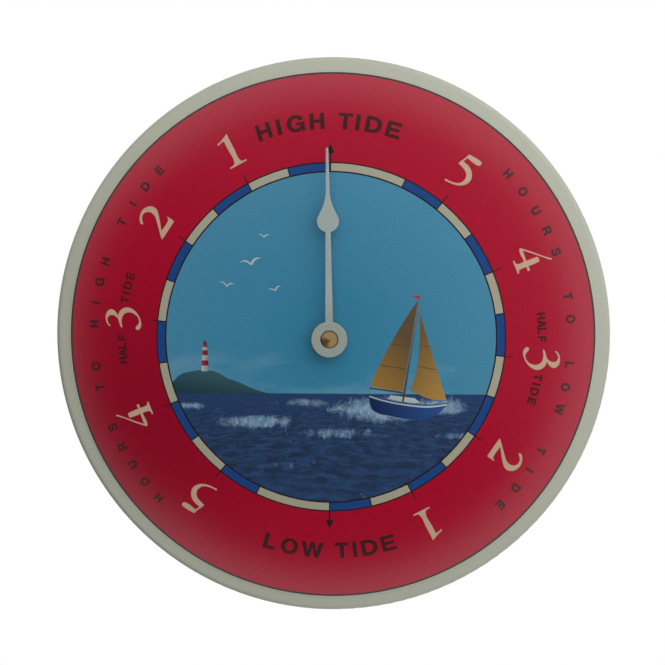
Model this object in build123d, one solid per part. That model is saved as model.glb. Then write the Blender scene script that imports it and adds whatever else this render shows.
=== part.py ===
from build123d import *
import math
import os

# A round wall tide clock, 254 mm across, in millimetres.
# Every piece is drawn with the clock lying on its back: X to the right, Y up the dial and Z out
# of the dial, with Z = 0 on the wall. At the end each piece is stood up, so that the dial faces
# -Y, +Z is up and the origin is the nail hole of the hanger.

# Dial dish
dial_radius = 127.0
dial_flat_radius = 30.0
dial_crown_drop = 4.5
dish_wall = 2.4
dish_edge_radius = 2.6
dish_inner_edge_radius = 1.2
rib_thickness = 1.6
rib_count = 8
rib_inner_radius = 44.0
rib_least_height = 1.4
rail_length = 34.0
rail_height = 4.0
rail_thickness = 1.8
rail_clearance = 0.4

# Printed dial film
film_radius = 120.4
film_thickness = 0.2

# Movement case
wall_gap = 0.6
case_top = 28.0
partition_drop = 11.0
bay_back_gap = 0.4
case_wall = 1.2
case_floor = 1.2
case_corner_radius = 3.0
partition_wall = 1.0
cover_thickness = 1.4
cover_lip_depth = 1.2
cover_lip_wall = 1.0
cover_lip_clearance = 0.1
socket_depth = 0.7

# Battery and its bay
battery_radius = 7.25
battery_length = 50.5
battery_nub_radius = 2.75
battery_nub_length = 1.4
battery_edge_radius = 0.8
battery_clearance = 0.15

# Battery contacts
contact_thickness = 0.4
contact_width = 9.0
contact_half_height = 5.4
leaf_reach = 11.0
leaf_rise = 2.3
leaf_width = 6.0
tail_width = 1.8
tab_width = 2.6
tab_overlap = 2.0
tail_notch_clearance = 0.5

# Hanger
hanger_radius = 8.0
hanger_thickness = 2.6
nail_hole_radius = 3.5
nail_hole_height = 6.0

# Fixing on the dial
bushing_radius = 3.95
bushing_bore_clearance = 0.05
bushing_flange_radius = 6.0
bushing_flange_thickness = 0.8
bushing_reach = 3.6
bushing_hole_clearance = 0.15
thread_clearance = 0.02
rubber_washer_radius = 10.0
rubber_washer_thickness = 1.0
front_washer_radius = 7.0
front_washer_thickness = 0.5
nut_across_flats = 11.0
nut_thickness = 2.2
nut_chamfer = 0.4

# Hand
hand_angle = 0.8
hand_front_height = 7.8
hub_radius = 8.0
hub_thickness = 1.8
hub_edge_radius = 0.4
arm_thickness = 1.0
arm_step = 0.5
arm_edge_radius = 0.25
arm_root_width = 3.65
arm_end_width = 2.15
bulb_radius = 4.9
bulb_height = 52.4
bulb_shoulder_angle = 28.0
bulb_neck = 13.3
spear_length = 18.9
spear_foot_width = 1.75
spear_end_width = 1.1

# Brass bushing of the hand
cap_radius = 4.0
cap_recess = 0.4
cap_roof = 0.7
cap_cone_height = 0.35
cap_rim = 0.5
cap_shank_radius = 3.6
cap_lift = 0.6

# Tube of the tide wheel
tube_radius = 2.5
tube_bore_radius = 1.65
tube_end_gap = 0.1

# Gearing: teeth and modules
tide_teeth = 48
motion_pinion_teeth = 12
tide_module = 0.4
motion_teeth = 36
cannon_teeth = 12
motion_module = 0.5
centre_teeth = 64
third_teeth = 60
fourth_teeth = 40
train_pinion_teeth = 8
train_module = 0.3
fifth_teeth = 48
rotor_teeth = 8
fifth_module = 0.25
tooth_play = 0.06
wheel_addendum_share = 0.8
wheel_dedendum_share = 1.2
wheel_tip_share = 0.55
wheel_root_share = 1.25
pinion_addendum_share = 0.7
pinion_dedendum_share = 1.25
pinion_tip_share = 0.6
pinion_root_share = 1.0

# Where each arbor stands from the one before, seen from the front
motion_direction = 135.0
third_direction = 20.0
fourth_direction = 90.0
fifth_direction = 135.0
rotor_direction = 180.0

# Thicknesses and spaces along the arbors
wheel_thickness = 1.0
tide_wheel_thickness = 1.2
pinion_overhang = 0.2
end_play = 0.2
cannon_gap = 0.6
clutch_space = 0.8
clutch_play = 0.05
plate_gap = 0.6
plate_thickness = 1.0
board_thickness = 1.0

# Arbors and pivots
arbor_radius = 0.55
pivot_radius = 0.35
pivot_length = 0.6
running_clearance = 0.05
motion_shaft_radius = 1.5
motion_pivot_radius = 0.6
cannon_post_radius = 1.6
cannon_post_length = 5.6
cannon_arbor_radius = 0.9
clutch_collar_radius = 1.4
clutch_collar_thickness = 0.65
clutch_spring_radius = 3.4
clutch_spring_thickness = 0.25

# Stepping motor
magnet_radius = 3.0
magnet_thickness = 1.6
magnet_air_gap = 0.4
stator_thickness = 0.8
stator_head_width = 9.0
stator_arm_width = 4.6
stator_leg_width = 3.2
stator_leg_gap = 1.3
stator_slot = 1.3
stator_bridge = 0.5
coil_inset = 5.8
coil_core_width = 4.0
coil_core_thickness = 0.8
bobbin_wall = 0.6
bobbin_flange = 7.0
bobbin_flange_thickness = 0.8
bobbin_end_gap = 0.8
winding_radius = 3.2

# Train plate, its pillars and screws
pillar_radius = 1.5
pillar_inset = 5.8
pillar_foot_gap = 2.4
pillar_hole_clearance = 0.1
screw_radius = 0.6
screw_head_radius = 1.4
screw_head_height = 0.8
screw_length = 4.0
plate_edge_gap = 0.8

# Circuit board and what it carries
board_height = 12.4
board_screw_gap = 1.5
board_left = 13.0
board_foot_gap = 0.7
chip_radius = 2.4
chip_height = 1.2
chip_across = 14.0
crystal_radius = 1.0
crystal_length = 6.0
crystal_across = 22.0

# Setting knob
knob_radius = 6.4
knob_back = 0.2
knob_recess_radius = 7.4
knob_recess_depth = 2.6
knob_recess_wall = 0.8
knob_floor_gap = 0.3
knob_grips = 16
knob_grip_radius = 0.9
knob_socket_roof = 0.7

# A length by which a cut runs past what it cuts
overrun = 1.0

# Heights above the wall
case_back = wall_gap
case_front = case_back + bay_back_gap + 2 * battery_radius + 2 * battery_clearance + case_floor
case_inner_front = case_front - case_floor
cover_inner = case_back + cover_thickness
dish_inner = case_front + rubber_washer_thickness
dish_front = dish_inner + dish_wall
film_front = dish_front + film_thickness
nut_back = film_front + front_washer_thickness
bushing_end = film_front + bushing_reach
hand_front = film_front + hand_front_height
hub_back = hand_front - hub_thickness
arm_front = hand_front - arm_step
cap_front = hand_front - cap_recess
tube_end = cap_front - cap_roof - tube_end_gap

tide_front = case_inner_front - bushing_flange_thickness - end_play
tide_back = tide_front - tide_wheel_thickness
cannon_front = tide_back - cannon_gap
motion_front = cannon_front - pinion_overhang
motion_back = motion_front - wheel_thickness
cannon_back = motion_back - pinion_overhang
centre_front = cannon_back - clutch_space
centre_back = centre_front - wheel_thickness
third_front = centre_back - clutch_space
third_back = third_front - wheel_thickness
plate_front = third_back - plate_gap
plate_back = plate_front - plate_thickness
board_back = plate_back - board_thickness
stator_front = third_front + stator_thickness / 2
stator_back = stator_front - stator_thickness
core_back = stator_back - coil_core_thickness
coil_height = core_back + coil_core_thickness / 2

# Places across the case, measured from the shaft of the hand
case_inner_half = battery_length / 2 + leaf_rise / 2 + contact_thickness
case_half = case_inner_half + case_wall
case_inner_top = case_top - case_wall
partition_top = -partition_drop
bay_top = partition_top - partition_wall
battery_y = bay_top - battery_clearance - battery_radius
battery_z = case_inner_front - battery_clearance - battery_radius
case_bottom = battery_y - battery_radius - battery_clearance - case_wall
case_middle = (case_top + case_bottom) / 2
nail_y = case_top + nail_hole_height
crown_radius = ((dial_radius - dial_flat_radius) ** 2 + dial_crown_drop ** 2) / (2 * dial_crown_drop)
coil_offset = case_inner_half - coil_inset
right_pillar_x = case_inner_half - pillar_inset / 2
pillar_top_y = case_inner_top - pillar_inset
pillar_foot_y = partition_top + pillar_foot_gap
pillar_places = ((-coil_offset, pillar_top_y), (-coil_offset, pillar_foot_y),
                 (right_pillar_x, pillar_top_y), (right_pillar_x, pillar_foot_y))


# Places along the hand
spear_foot_height = bulb_height + bulb_neck
hand_reach = spear_foot_height + spear_length


def away(start, distance, direction):
    angle = math.radians(direction)
    return start[0] + distance * math.cos(angle), start[1] + distance * math.sin(angle)


centre_place = (0, 0)
motion_place = away(centre_place, motion_module * (motion_teeth + cannon_teeth) / 2, motion_direction)
third_place = away(centre_place, train_module * (centre_teeth + train_pinion_teeth) / 2, third_direction)
fourth_place = away(third_place, train_module * (third_teeth + train_pinion_teeth) / 2, fourth_direction)
fifth_place = away(fourth_place, train_module * (fourth_teeth + train_pinion_teeth) / 2, fifth_direction)
rotor_place = away(fifth_place, fifth_module * (fifth_teeth + rotor_teeth) / 2, rotor_direction)


# Turns a gear so that its teeth stand in the gaps of the gear that it meets
def mating_phase(place, phase, teeth, other_place, other_teeth):
    line = math.atan2(other_place[1] - place[1], other_place[0] - place[0])
    fraction = ((line - phase) * teeth / math.tau) % 1
    return line + math.pi - (1 / 2 - fraction) * math.tau / other_teeth


cannon_phase = 0
motion_phase = mating_phase(centre_place, cannon_phase, cannon_teeth, motion_place, motion_teeth)
motion_pinion_phase = motion_phase
tide_phase = mating_phase(motion_place, motion_pinion_phase, motion_pinion_teeth, centre_place, tide_teeth)
centre_phase = 0
third_phase = mating_phase(centre_place, centre_phase, centre_teeth, third_place, train_pinion_teeth)
fourth_phase = mating_phase(third_place, third_phase, third_teeth, fourth_place, train_pinion_teeth)
fifth_phase = mating_phase(fourth_place, fourth_phase, fourth_teeth, fifth_place, train_pinion_teeth)
rotor_phase = mating_phase(fifth_place, fifth_phase, fifth_teeth, rotor_place, rotor_teeth)


# Basic shapes
def disc(radius, back, front, place=(0, 0)):
    shape = Cylinder(radius, front - back, align=(Align.CENTER, Align.CENTER, Align.MIN))
    return Pos(place[0], place[1], back) * shape


def block(left, right, bottom, top, back, front):
    shape = Box(right - left, top - bottom, front - back, align=(Align.MIN, Align.MIN, Align.MIN))
    return Pos(left, bottom, back) * shape


def slab(face, back, front):
    return extrude(Pos(0, 0, back) * face, amount=front - back, dir=(0, 0, 1))


def spun(points):
    return revolve(Plane.XZ * make_face(Polyline(*points, close=True)), Axis.Z)


def edges_at(shape, height, radius):
    rings = shape.edges().filter_by(GeomType.CIRCLE)
    return [e for e in rings if abs(e.radius - radius) < thread_clearance
            and abs(e.center().Z - height) < thread_clearance]


# Teeth with straight flanks, as moulded on small clock wheels
def teeth_outline(teeth, module, addendum, dedendum, tip, root, place, phase):
    pitch = module * teeth / 2
    half_width = math.pi * module / 4 - tooth_play / 2
    tip_radius = pitch + addendum * module
    root_radius = pitch - dedendum * module
    points = []
    for tooth in range(teeth):
        middle = phase + math.tau * tooth / teeth
        for radius, share in ((root_radius, -root), (tip_radius, -tip), (tip_radius, tip), (root_radius, root)):
            angle = middle + share * half_width / pitch
            points.append((place[0] + radius * math.cos(angle), place[1] + radius * math.sin(angle)))
    return make_face(Polyline(*points, close=True))


def wheel(teeth, module, place, phase, back, front):
    face = teeth_outline(teeth, module, wheel_addendum_share, wheel_dedendum_share,
                         wheel_tip_share, wheel_root_share, place, phase)
    return slab(face, back, front)


def pinion(teeth, module, place, phase, back, front):
    face = teeth_outline(teeth, module, pinion_addendum_share, pinion_dedendum_share,
                         pinion_tip_share, pinion_root_share, place, phase)
    return slab(face, back, front)


# A thin arbor from the train plate to the front of the case, with a pivot at each end
def train_arbor(place):
    body = disc(arbor_radius, plate_front + end_play, case_inner_front - end_play, place)
    rear_pivot = disc(pivot_radius, plate_front - pivot_length, plate_front + end_play, place)
    front_pivot = disc(pivot_radius, case_inner_front - end_play, case_inner_front + pivot_length, place)
    return body + rear_pivot + front_pivot


# The crowned face of the dial, or one a given height above it
def crown_height(radius, offset):
    across = radius - dial_flat_radius
    return dish_front - crown_radius + math.sqrt((crown_radius + offset) ** 2 - across ** 2)


def crown_line(outer_radius, offset):
    middle_radius = (dial_flat_radius + outer_radius) / 2
    return ThreePointArc((dial_flat_radius, dish_front + offset), (middle_radius, crown_height(middle_radius, offset)),
                         (outer_radius, crown_height(outer_radius, offset)))


# A solid from the wall up to that face, out to a given radius, with its edge rounded
def crowned_drum(outer_radius, offset, edge_radius):
    top = dish_front + offset
    edge = crown_height(outer_radius, offset)
    section = make_face(Wire([
        Line((0, 0), (0, top)),
        Line((0, top), (dial_flat_radius, top)),
        crown_line(outer_radius, offset),
        Line((outer_radius, edge), (outer_radius, 0)),
        Line((outer_radius, 0), (0, 0)),
    ]))
    corner = [v for v in section.vertices() if v.X > outer_radius - edge_radius and v.Y > edge / 2]
    return revolve(Plane.XZ * fillet(corner, edge_radius), Axis.Z)


def dial_dish():
    inner_radius = dial_radius - dish_wall
    outside = crowned_drum(dial_radius, 0, dish_edge_radius)
    inside = crowned_drum(inner_radius, -dish_wall, dish_inner_edge_radius)
    dish = outside - inside
    rib_back = crown_height(inner_radius, -dish_wall) - rib_least_height
    for index in range(rib_count):
        rib = block(rib_inner_radius, inner_radius, -rib_thickness / 2, rib_thickness / 2, rib_back, dish_front)
        angle = (index + 1 / 2) * 360 / rib_count
        dish += (Rot(0, 0, angle) * rib) & inside
    rail_x = case_half + rail_clearance
    rail = block(rail_x, rail_x + rail_thickness, -rail_length / 2, rail_length / 2,
                 dish_inner - rail_height, dish_inner)
    dish += rail
    dish += Rot(0, 0, 180) * rail
    return dish - disc(bushing_radius + bushing_hole_clearance, 0, dish_front + overrun)


def dial_film():
    top = dish_front + film_thickness
    section = make_face(Wire([
        Line((0, dish_front), (0, top)),
        Line((0, top), (dial_flat_radius, top)),
        crown_line(film_radius, film_thickness),
        Line((film_radius, crown_height(film_radius, film_thickness)), (film_radius, crown_height(film_radius, 0))),
        crown_line(film_radius, 0),
        Line((dial_flat_radius, dish_front), (0, dish_front)),
    ]))
    film = revolve(Plane.XZ * section, Axis.Z)
    return film - disc(bushing_radius + bushing_hole_clearance, 0, film_front + overrun)


# The outline of the case, or one a given distance inside it
def case_outline(inset):
    width = 2 * (case_half - inset)
    height = case_top - case_bottom - 2 * inset
    return Pos(0, case_middle) * RectangleRounded(width, height, case_corner_radius - inset)


# Movement case, open at the back, with a partition above the battery bay
def case_front_shell():
    shell = slab(case_outline(0), case_back, case_front)
    shell -= slab(case_outline(case_wall), case_back - overrun, case_inner_front)
    shell += block(-case_half + case_wall / 2, case_half - case_wall / 2, bay_top, partition_top,
                   cover_inner, case_inner_front)
    shell -= block(-case_half - overrun, case_half + overrun, bay_top, case_top + overrun,
                   case_back - overrun, cover_inner)
    for place in pillar_places:
        shell += disc(pillar_radius, plate_front, case_inner_front, place)
        shell -= disc(screw_radius + thread_clearance, plate_front - overrun, plate_front + screw_length, place)
    notch_inner = case_inner_half - contact_thickness - tail_notch_clearance
    notch_back = board_back - tail_width - tail_notch_clearance
    for side in (-1, 1):
        edges = sorted((side * notch_inner, side * case_inner_half))
        shell -= block(edges[0], edges[1], bay_top - overrun, partition_top + overrun, notch_back,
                       board_back + tail_notch_clearance)
    for place in (third_place, fourth_place, fifth_place, rotor_place):
        shell -= disc(pivot_radius + running_clearance, case_inner_front - overrun,
                      case_inner_front + socket_depth, place)
    shell -= disc(motion_pivot_radius + running_clearance, case_inner_front - overrun,
                  case_inner_front + socket_depth, motion_place)
    return shell - disc(bushing_radius, case_inner_front - overrun, case_front + overrun)


# Back cover of the wheels, with the hanger and the recess of the setting knob
def case_rear_cover():
    cover = slab(case_outline(0), case_back, cover_inner)
    cover -= block(-case_half - overrun, case_half + overrun, case_bottom - overrun, bay_top,
                   case_back - overrun, cover_inner + overrun)
    lip_inset = case_wall + cover_lip_clearance
    lip_bottom = partition_top + cover_lip_clearance
    lip_front = cover_inner + cover_lip_depth
    lip_in = case_half - lip_inset - cover_lip_wall
    lip = slab(case_outline(lip_inset), cover_inner, lip_front)
    lip &= block(-case_half, case_half, lip_bottom, case_top, cover_inner, lip_front)
    lip -= block(-lip_in, lip_in, lip_bottom + cover_lip_wall, case_top - lip_inset - cover_lip_wall,
                 cover_inner, lip_front + overrun)
    recess_floor = cover_inner + knob_recess_depth - cover_thickness
    cup = disc(knob_recess_radius + knob_recess_wall, case_back, recess_floor + knob_recess_wall, motion_place)
    tab = block(-hanger_radius, hanger_radius, case_inner_top, nail_y, 0, hanger_thickness)
    tab += disc(hanger_radius, 0, hanger_thickness, (0, nail_y))
    tab -= block(-hanger_radius, hanger_radius, 0, case_top + cover_lip_clearance,
                 cover_inner, hanger_thickness + overrun)
    cover = cover + lip + cup + tab
    cover -= disc(knob_recess_radius, case_back - overrun, recess_floor, motion_place)
    cover -= disc(motion_shaft_radius + running_clearance, 0, recess_floor + knob_recess_wall + overrun,
                  motion_place)
    for side in (-1, 1):
        gap = sorted((side * (case_inner_half - contact_thickness - tail_notch_clearance), side * case_half))
        cover -= block(gap[0], gap[1], partition_top, pillar_foot_y + pillar_radius + tab_width,
                       cover_inner, lip_front + overrun)
    return cover - disc(nail_hole_radius, -overrun, hanger_thickness + overrun, (0, nail_y))


# Fixing through the dial
def threaded_bushing():
    body = disc(bushing_radius, case_inner_front - bushing_flange_thickness, bushing_end)
    body += disc(bushing_flange_radius, case_inner_front - bushing_flange_thickness, case_inner_front)
    bore = tube_radius + bushing_bore_clearance
    return body - disc(bore, case_back, bushing_end + overrun)


def ring(outer_radius, inner_radius, back, front, place=(0, 0)):
    return disc(outer_radius, back, front, place) - disc(inner_radius, back - overrun, front + overrun, place)


def hex_nut():
    corner_radius = nut_across_flats / math.sqrt(3)
    nut = slab(RegularPolygon(corner_radius, 6), nut_back, nut_back + nut_thickness)
    half = nut_thickness / 2
    cone = spun([(0, nut_back), (corner_radius - nut_chamfer, nut_back), (corner_radius, nut_back + nut_chamfer),
                 (corner_radius, nut_back + half), (corner_radius, nut_back + nut_thickness - nut_chamfer),
                 (corner_radius - nut_chamfer, nut_back + nut_thickness), (0, nut_back + nut_thickness)])
    return (nut & cone) - disc(bushing_radius + thread_clearance, 0, bushing_end)


# Hand: a round boss, a tapered arm, a drop shaped bulb and a spear
def hand_outline():
    arm = make_face(Polyline((-arm_root_width / 2, 0), (arm_root_width / 2, 0), (arm_end_width / 2, bulb_height),
                             (-arm_end_width / 2, bulb_height), close=True))
    bulb = Pos(0, bulb_height) * Circle(bulb_radius)
    turn = math.radians(bulb_shoulder_angle)
    shoulder = (bulb_radius * math.cos(turn), bulb_height + bulb_radius * math.sin(turn))
    foot = (spear_foot_width / 2, spear_foot_height)
    tip_radius = spear_end_width / 2
    tip = (tip_radius, hand_reach - tip_radius)
    slope = (foot[0] - tip[0]) / (tip[1] - foot[1])
    right = Spline(shoulder, foot, tangents=[(-math.sin(turn), math.cos(turn)), (-slope, 1)])
    left = Spline((-foot[0], foot[1]), (-shoulder[0], shoulder[1]),
                  tangents=[(-slope, -1), (-math.sin(turn), -math.cos(turn))])
    spear = make_face(Wire([
        right,
        Line(foot, tip),
        ThreePointArc(tip, (0, hand_reach), (-tip[0], tip[1])),
        Line((-tip[0], tip[1]), (-foot[0], foot[1])),
        left,
        Line((-shoulder[0], shoulder[1]), shoulder),
    ]))
    return arm + bulb + spear


def tide_hand():
    hand = slab(hand_outline(), arm_front - arm_thickness, arm_front)
    top_edges = hand.edges().filter_by(lambda e: abs(e.center().Z - arm_front) < thread_clearance)
    hand = fillet([e for e in top_edges if e.length > arm_thickness], arm_edge_radius)
    hand += disc(hub_radius, hub_back, hand_front)
    hand -= disc(cap_radius, hub_back - overrun, hand_front + overrun)
    rims = edges_at(hand, hand_front, hub_radius) + edges_at(hand, hand_front, cap_radius)
    hand = fillet(rims, hub_edge_radius)
    return Rot(0, 0, hand_angle) * hand


def hand_bushing():
    shank_back = bushing_end + cap_lift
    cone_radius = cap_radius - cap_rim
    return spun([(tube_radius, shank_back), (cap_shank_radius, shank_back), (cap_shank_radius, hub_back),
                 (cap_radius, hub_back), (cap_radius, cap_front), (cone_radius, cap_front),
                 (0, cap_front + cap_cone_height), (0, cap_front - cap_roof), (tube_radius, cap_front - cap_roof)])


# Wheels between the hand and the clutch
def tide_wheel():
    body = wheel(tide_teeth, tide_module, centre_place, tide_phase, tide_back, tide_front)
    body += disc(tube_radius, tide_back, tube_end)
    return body - disc(tube_bore_radius, tide_back - overrun, tube_end + overrun)


def motion_wheel():
    body = wheel(motion_teeth, motion_module, motion_place, motion_phase, motion_back, motion_front)
    body += pinion(motion_pinion_teeth, tide_module, motion_place, motion_pinion_phase,
                   motion_front, tide_front + pinion_overhang)
    body += disc(motion_shaft_radius, knob_back + knob_socket_roof, motion_back, motion_place)
    return body + disc(motion_pivot_radius, tide_front, case_inner_front + pivot_length, motion_place)


def cannon_pinion():
    body = pinion(cannon_teeth, motion_module, centre_place, cannon_phase, cannon_back, cannon_front)
    body += disc(cannon_post_radius, cannon_front, cannon_front + cannon_post_length)
    body += disc(cannon_arbor_radius, plate_front + end_play, cannon_back)
    return body + disc(pivot_radius, plate_front - pivot_length, plate_front + end_play)


def clutch_spring():
    low = centre_front + clutch_play
    high = cannon_back
    inner = cannon_arbor_radius + running_clearance
    waist = clutch_collar_radius + running_clearance
    return spun([(inner, high), (inner, high - clutch_spring_thickness), (waist, high - clutch_spring_thickness),
                 (clutch_spring_radius, low), (clutch_spring_radius, low + clutch_spring_thickness), (waist, high)])


def clutch_collar():
    top = centre_back - clutch_play
    return ring(clutch_collar_radius, cannon_arbor_radius, top - clutch_collar_thickness, top)


# Wheels between the clutch and the motor
def centre_wheel():
    body = wheel(centre_teeth, train_module, centre_place, centre_phase, centre_back, centre_front)
    return body - disc(cannon_arbor_radius + running_clearance, centre_back - overrun, centre_front + overrun)


def third_wheel():
    body = wheel(third_teeth, train_module, third_place, third_phase, third_back, third_front)
    body += pinion(train_pinion_teeth, train_module, third_place, third_phase,
                   third_front, centre_front + pinion_overhang)
    return body + train_arbor(third_place)


def fourth_wheel():
    body = wheel(fourth_teeth, train_module, fourth_place, fourth_phase, centre_back, centre_front)
    body += pinion(train_pinion_teeth, train_module, fourth_place, fourth_phase,
                   third_back - pinion_overhang, centre_back)
    return body + train_arbor(fourth_place)


def fifth_wheel():
    body = wheel(fifth_teeth, fifth_module, fifth_place, fifth_phase, motion_back, motion_front)
    body += pinion(train_pinion_teeth, train_module, fifth_place, fifth_phase,
                   centre_back - pinion_overhang, motion_back)
    return body + train_arbor(fifth_place)


def rotor_pinion():
    body = pinion(rotor_teeth, fifth_module, rotor_place, rotor_phase, cannon_back, cannon_front)
    return body + train_arbor(rotor_place)


def rotor_magnet():
    middle = (stator_front + stator_back) / 2
    return ring(magnet_radius, arbor_radius, middle - magnet_thickness / 2, middle + magnet_thickness / 2,
                rotor_place)


# Stepping motor: two poles round the rotor, with the coil across their ends
def stator_plate():
    head_left = rotor_place[0] - stator_head_width / 2
    head_right = rotor_place[0] + stator_head_width / 2
    head_bottom = rotor_place[1] - stator_head_width / 2
    head_top = rotor_place[1] + stator_head_width / 2
    lug_left = -coil_offset - coil_core_width / 2
    leg_left = -coil_offset + bobbin_flange / 2 + stator_leg_gap
    leg_right = leg_left + stator_leg_width
    lower_top = rotor_place[1] - stator_slot
    lug_bottom = pillar_foot_y - coil_core_width / 2
    lug_top = pillar_foot_y + coil_core_width / 2
    top_arm_bottom = head_top - stator_arm_width
    plate = block(head_left, head_right, head_bottom, head_top, stator_back, stator_front)
    plate += block(lug_left, head_left, top_arm_bottom, head_top, stator_back, stator_front)
    plate += block(leg_left, head_left, head_bottom, lower_top, stator_back, stator_front)
    plate += block(leg_left, leg_right, lug_bottom, head_bottom, stator_back, stator_front)
    plate += block(lug_left, leg_right, lug_bottom, lug_top, stator_back, stator_front)
    hole_radius = magnet_radius + magnet_air_gap
    plate -= disc(hole_radius, stator_back - overrun, stator_front + overrun, rotor_place)
    neck = hole_radius + stator_bridge
    slit_top = top_arm_bottom
    plate -= block(head_left - overrun, rotor_place[0] - neck, lower_top, slit_top,
                   stator_back - overrun, stator_front + overrun)
    plate -= block(rotor_place[0] + neck, head_right + overrun, lower_top, slit_top,
                   stator_back - overrun, stator_front + overrun)
    for place in pillar_places[:2]:
        plate -= disc(pillar_radius + pillar_hole_clearance, stator_back - overrun, stator_front + overrun, place)
    return plate


def coil_core():
    left = -coil_offset - coil_core_width / 2
    right = -coil_offset + coil_core_width / 2
    bottom = pillar_foot_y - coil_core_width / 2
    top = pillar_top_y + coil_core_width / 2
    core = block(left, right, bottom, top, core_back, stator_back)
    for place in pillar_places[:2]:
        core -= disc(pillar_radius + pillar_hole_clearance, core_back - overrun, stator_back + overrun, place)
    return core


bobbin_bottom = pillar_foot_y + coil_core_width / 2 + bobbin_end_gap
bobbin_top = pillar_top_y - coil_core_width / 2 - bobbin_end_gap - stator_arm_width / 2


def coil_bobbin():
    half_width = coil_core_width / 2 + bobbin_wall
    half_depth = coil_core_thickness / 2 + bobbin_wall
    half_flange = bobbin_flange / 2
    left = -coil_offset - half_flange
    right = -coil_offset + half_flange
    body = block(-coil_offset - half_width, -coil_offset + half_width, bobbin_bottom, bobbin_top,
                 coil_height - half_depth, coil_height + half_depth)
    body += block(left, right, bobbin_bottom, bobbin_bottom + bobbin_flange_thickness,
                  coil_height - half_flange, coil_height + half_flange)
    body += block(left, right, bobbin_top - bobbin_flange_thickness, bobbin_top,
                  coil_height - half_flange, coil_height + half_flange)
    return body - block(-coil_offset - coil_core_width / 2, -coil_offset + coil_core_width / 2,
                        bobbin_bottom - overrun, bobbin_top + overrun,
                        coil_height - coil_core_thickness / 2, coil_height + coil_core_thickness / 2)


def coil_winding():
    low = bobbin_bottom + bobbin_flange_thickness
    high = bobbin_top - bobbin_flange_thickness
    roll = Pos(-coil_offset, low, coil_height) * Rot(-90, 0, 0) * Cylinder(
        winding_radius, high - low, align=(Align.CENTER, Align.CENTER, Align.MIN))
    half_width = coil_core_width / 2 + bobbin_wall
    half_depth = coil_core_thickness / 2 + bobbin_wall
    return roll - block(-coil_offset - half_width, -coil_offset + half_width, low - overrun, high + overrun,
                        coil_height - half_depth, coil_height + half_depth)


# Plate that carries the rear pivots
def train_plate():
    edge = case_inner_half - plate_edge_gap
    bottom = partition_top + plate_edge_gap / 2
    plate = block(-edge, edge, bottom, case_inner_top - plate_edge_gap, plate_back, plate_front)
    coil_right = -coil_offset + bobbin_flange / 2 + plate_edge_gap
    plate -= block(-edge - overrun, coil_right, bobbin_bottom - plate_edge_gap, bobbin_top + plate_edge_gap,
                   plate_back - overrun, plate_front + overrun)
    for place in (centre_place, third_place, fourth_place, fifth_place, rotor_place):
        plate -= disc(pivot_radius + running_clearance, plate_back - overrun, plate_front + overrun, place)
    plate -= disc(motion_shaft_radius + running_clearance, plate_back - overrun, plate_front + overrun,
                  motion_place)
    for place in pillar_places:
        plate -= disc(screw_radius + pillar_hole_clearance, plate_back - overrun, plate_front + overrun, place)
    return plate


def plate_screws():
    screws = []
    for place in pillar_places:
        head = disc(screw_head_radius, plate_back - screw_head_height, plate_back, place)
        shank = disc(screw_radius, plate_back, plate_front + screw_length - plate_thickness, place)
        screws.append(head + shank)
    return Compound(children=screws)


board_bottom = partition_top + board_foot_gap
board_top = board_bottom + board_height
board_right = right_pillar_x - screw_head_radius - board_screw_gap
board_middle_y = (board_bottom + board_top) / 2


def circuit_board():
    return block(-board_left, board_right, board_bottom, board_top, board_back, plate_back)


def circuit_chip():
    place = (chip_across - board_left, board_middle_y)
    dome = disc(chip_radius, board_back - chip_height, board_back, place)
    rim = [e for e in dome.edges().filter_by(GeomType.CIRCLE) if e.center().Z < board_back - chip_height / 2]
    return fillet(rim, chip_height / 2)


def quartz_crystal():
    can = Pos(crystal_across - board_left, board_middle_y - crystal_length / 2, board_back - crystal_radius)
    return can * Rot(-90, 0, 0) * Cylinder(crystal_radius, crystal_length,
                                           align=(Align.CENTER, Align.CENTER, Align.MIN))


# Battery contacts: a plate at the end of the bay, a tail past the partition and a tab on the board
def contact(side, tab_reach):
    outer = side * case_inner_half
    inner = side * (case_inner_half - contact_thickness)
    left, right = sorted((inner, outer))
    tab_left, tab_right = sorted((side * tab_reach, outer))
    plate_low = battery_y - contact_half_height
    plate_high = battery_y + contact_half_height
    tail_back = board_back - tail_width
    tab_low = pillar_foot_y - tab_width / 2
    tab_high = pillar_foot_y + tab_width / 2
    body = block(left, right, plate_low, plate_high, tail_back, tail_back + contact_width)
    body += block(left, right, plate_high, tab_high, tail_back, board_back)
    return body + block(tab_left, tab_right, tab_low, tab_high, board_back - contact_thickness, board_back)


def positive_contact():
    return contact(1, board_right - tab_overlap)


def negative_contact():
    root = -case_inner_half + contact_thickness / 2
    crest = -case_inner_half + contact_thickness + leaf_rise
    low = battery_y - leaf_reach / 2
    high = battery_y + leaf_reach / 2
    fold = contact_thickness * 2
    leaf = make_face(Wire([
        ThreePointArc((root, low), (crest, battery_y), (root, high)),
        Line((root, high), (root, high - fold)),
        ThreePointArc((root, high - fold), (crest - contact_thickness, battery_y), (root, low + fold)),
        Line((root, low + fold), (root, low)),
    ]))
    leaf_back = battery_z - leaf_width / 2
    return contact(-1, board_left - tab_overlap) + slab(leaf, leaf_back, leaf_back + leaf_width)


def battery():
    tip = case_inner_half - contact_thickness
    shoulder = tip - battery_nub_length
    length = battery_length - battery_nub_length
    can = Cylinder(battery_radius, length, align=(Align.CENTER, Align.CENTER, Align.MIN))
    can = fillet(can.edges().filter_by(GeomType.CIRCLE), battery_edge_radius)
    nub = Pos(0, 0, length) * Cylinder(battery_nub_radius, battery_nub_length,
                                       align=(Align.CENTER, Align.CENTER, Align.MIN))
    return Pos(shoulder - length, battery_y, battery_z) * Rot(0, 90, 0) * (can + nub)


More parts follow.
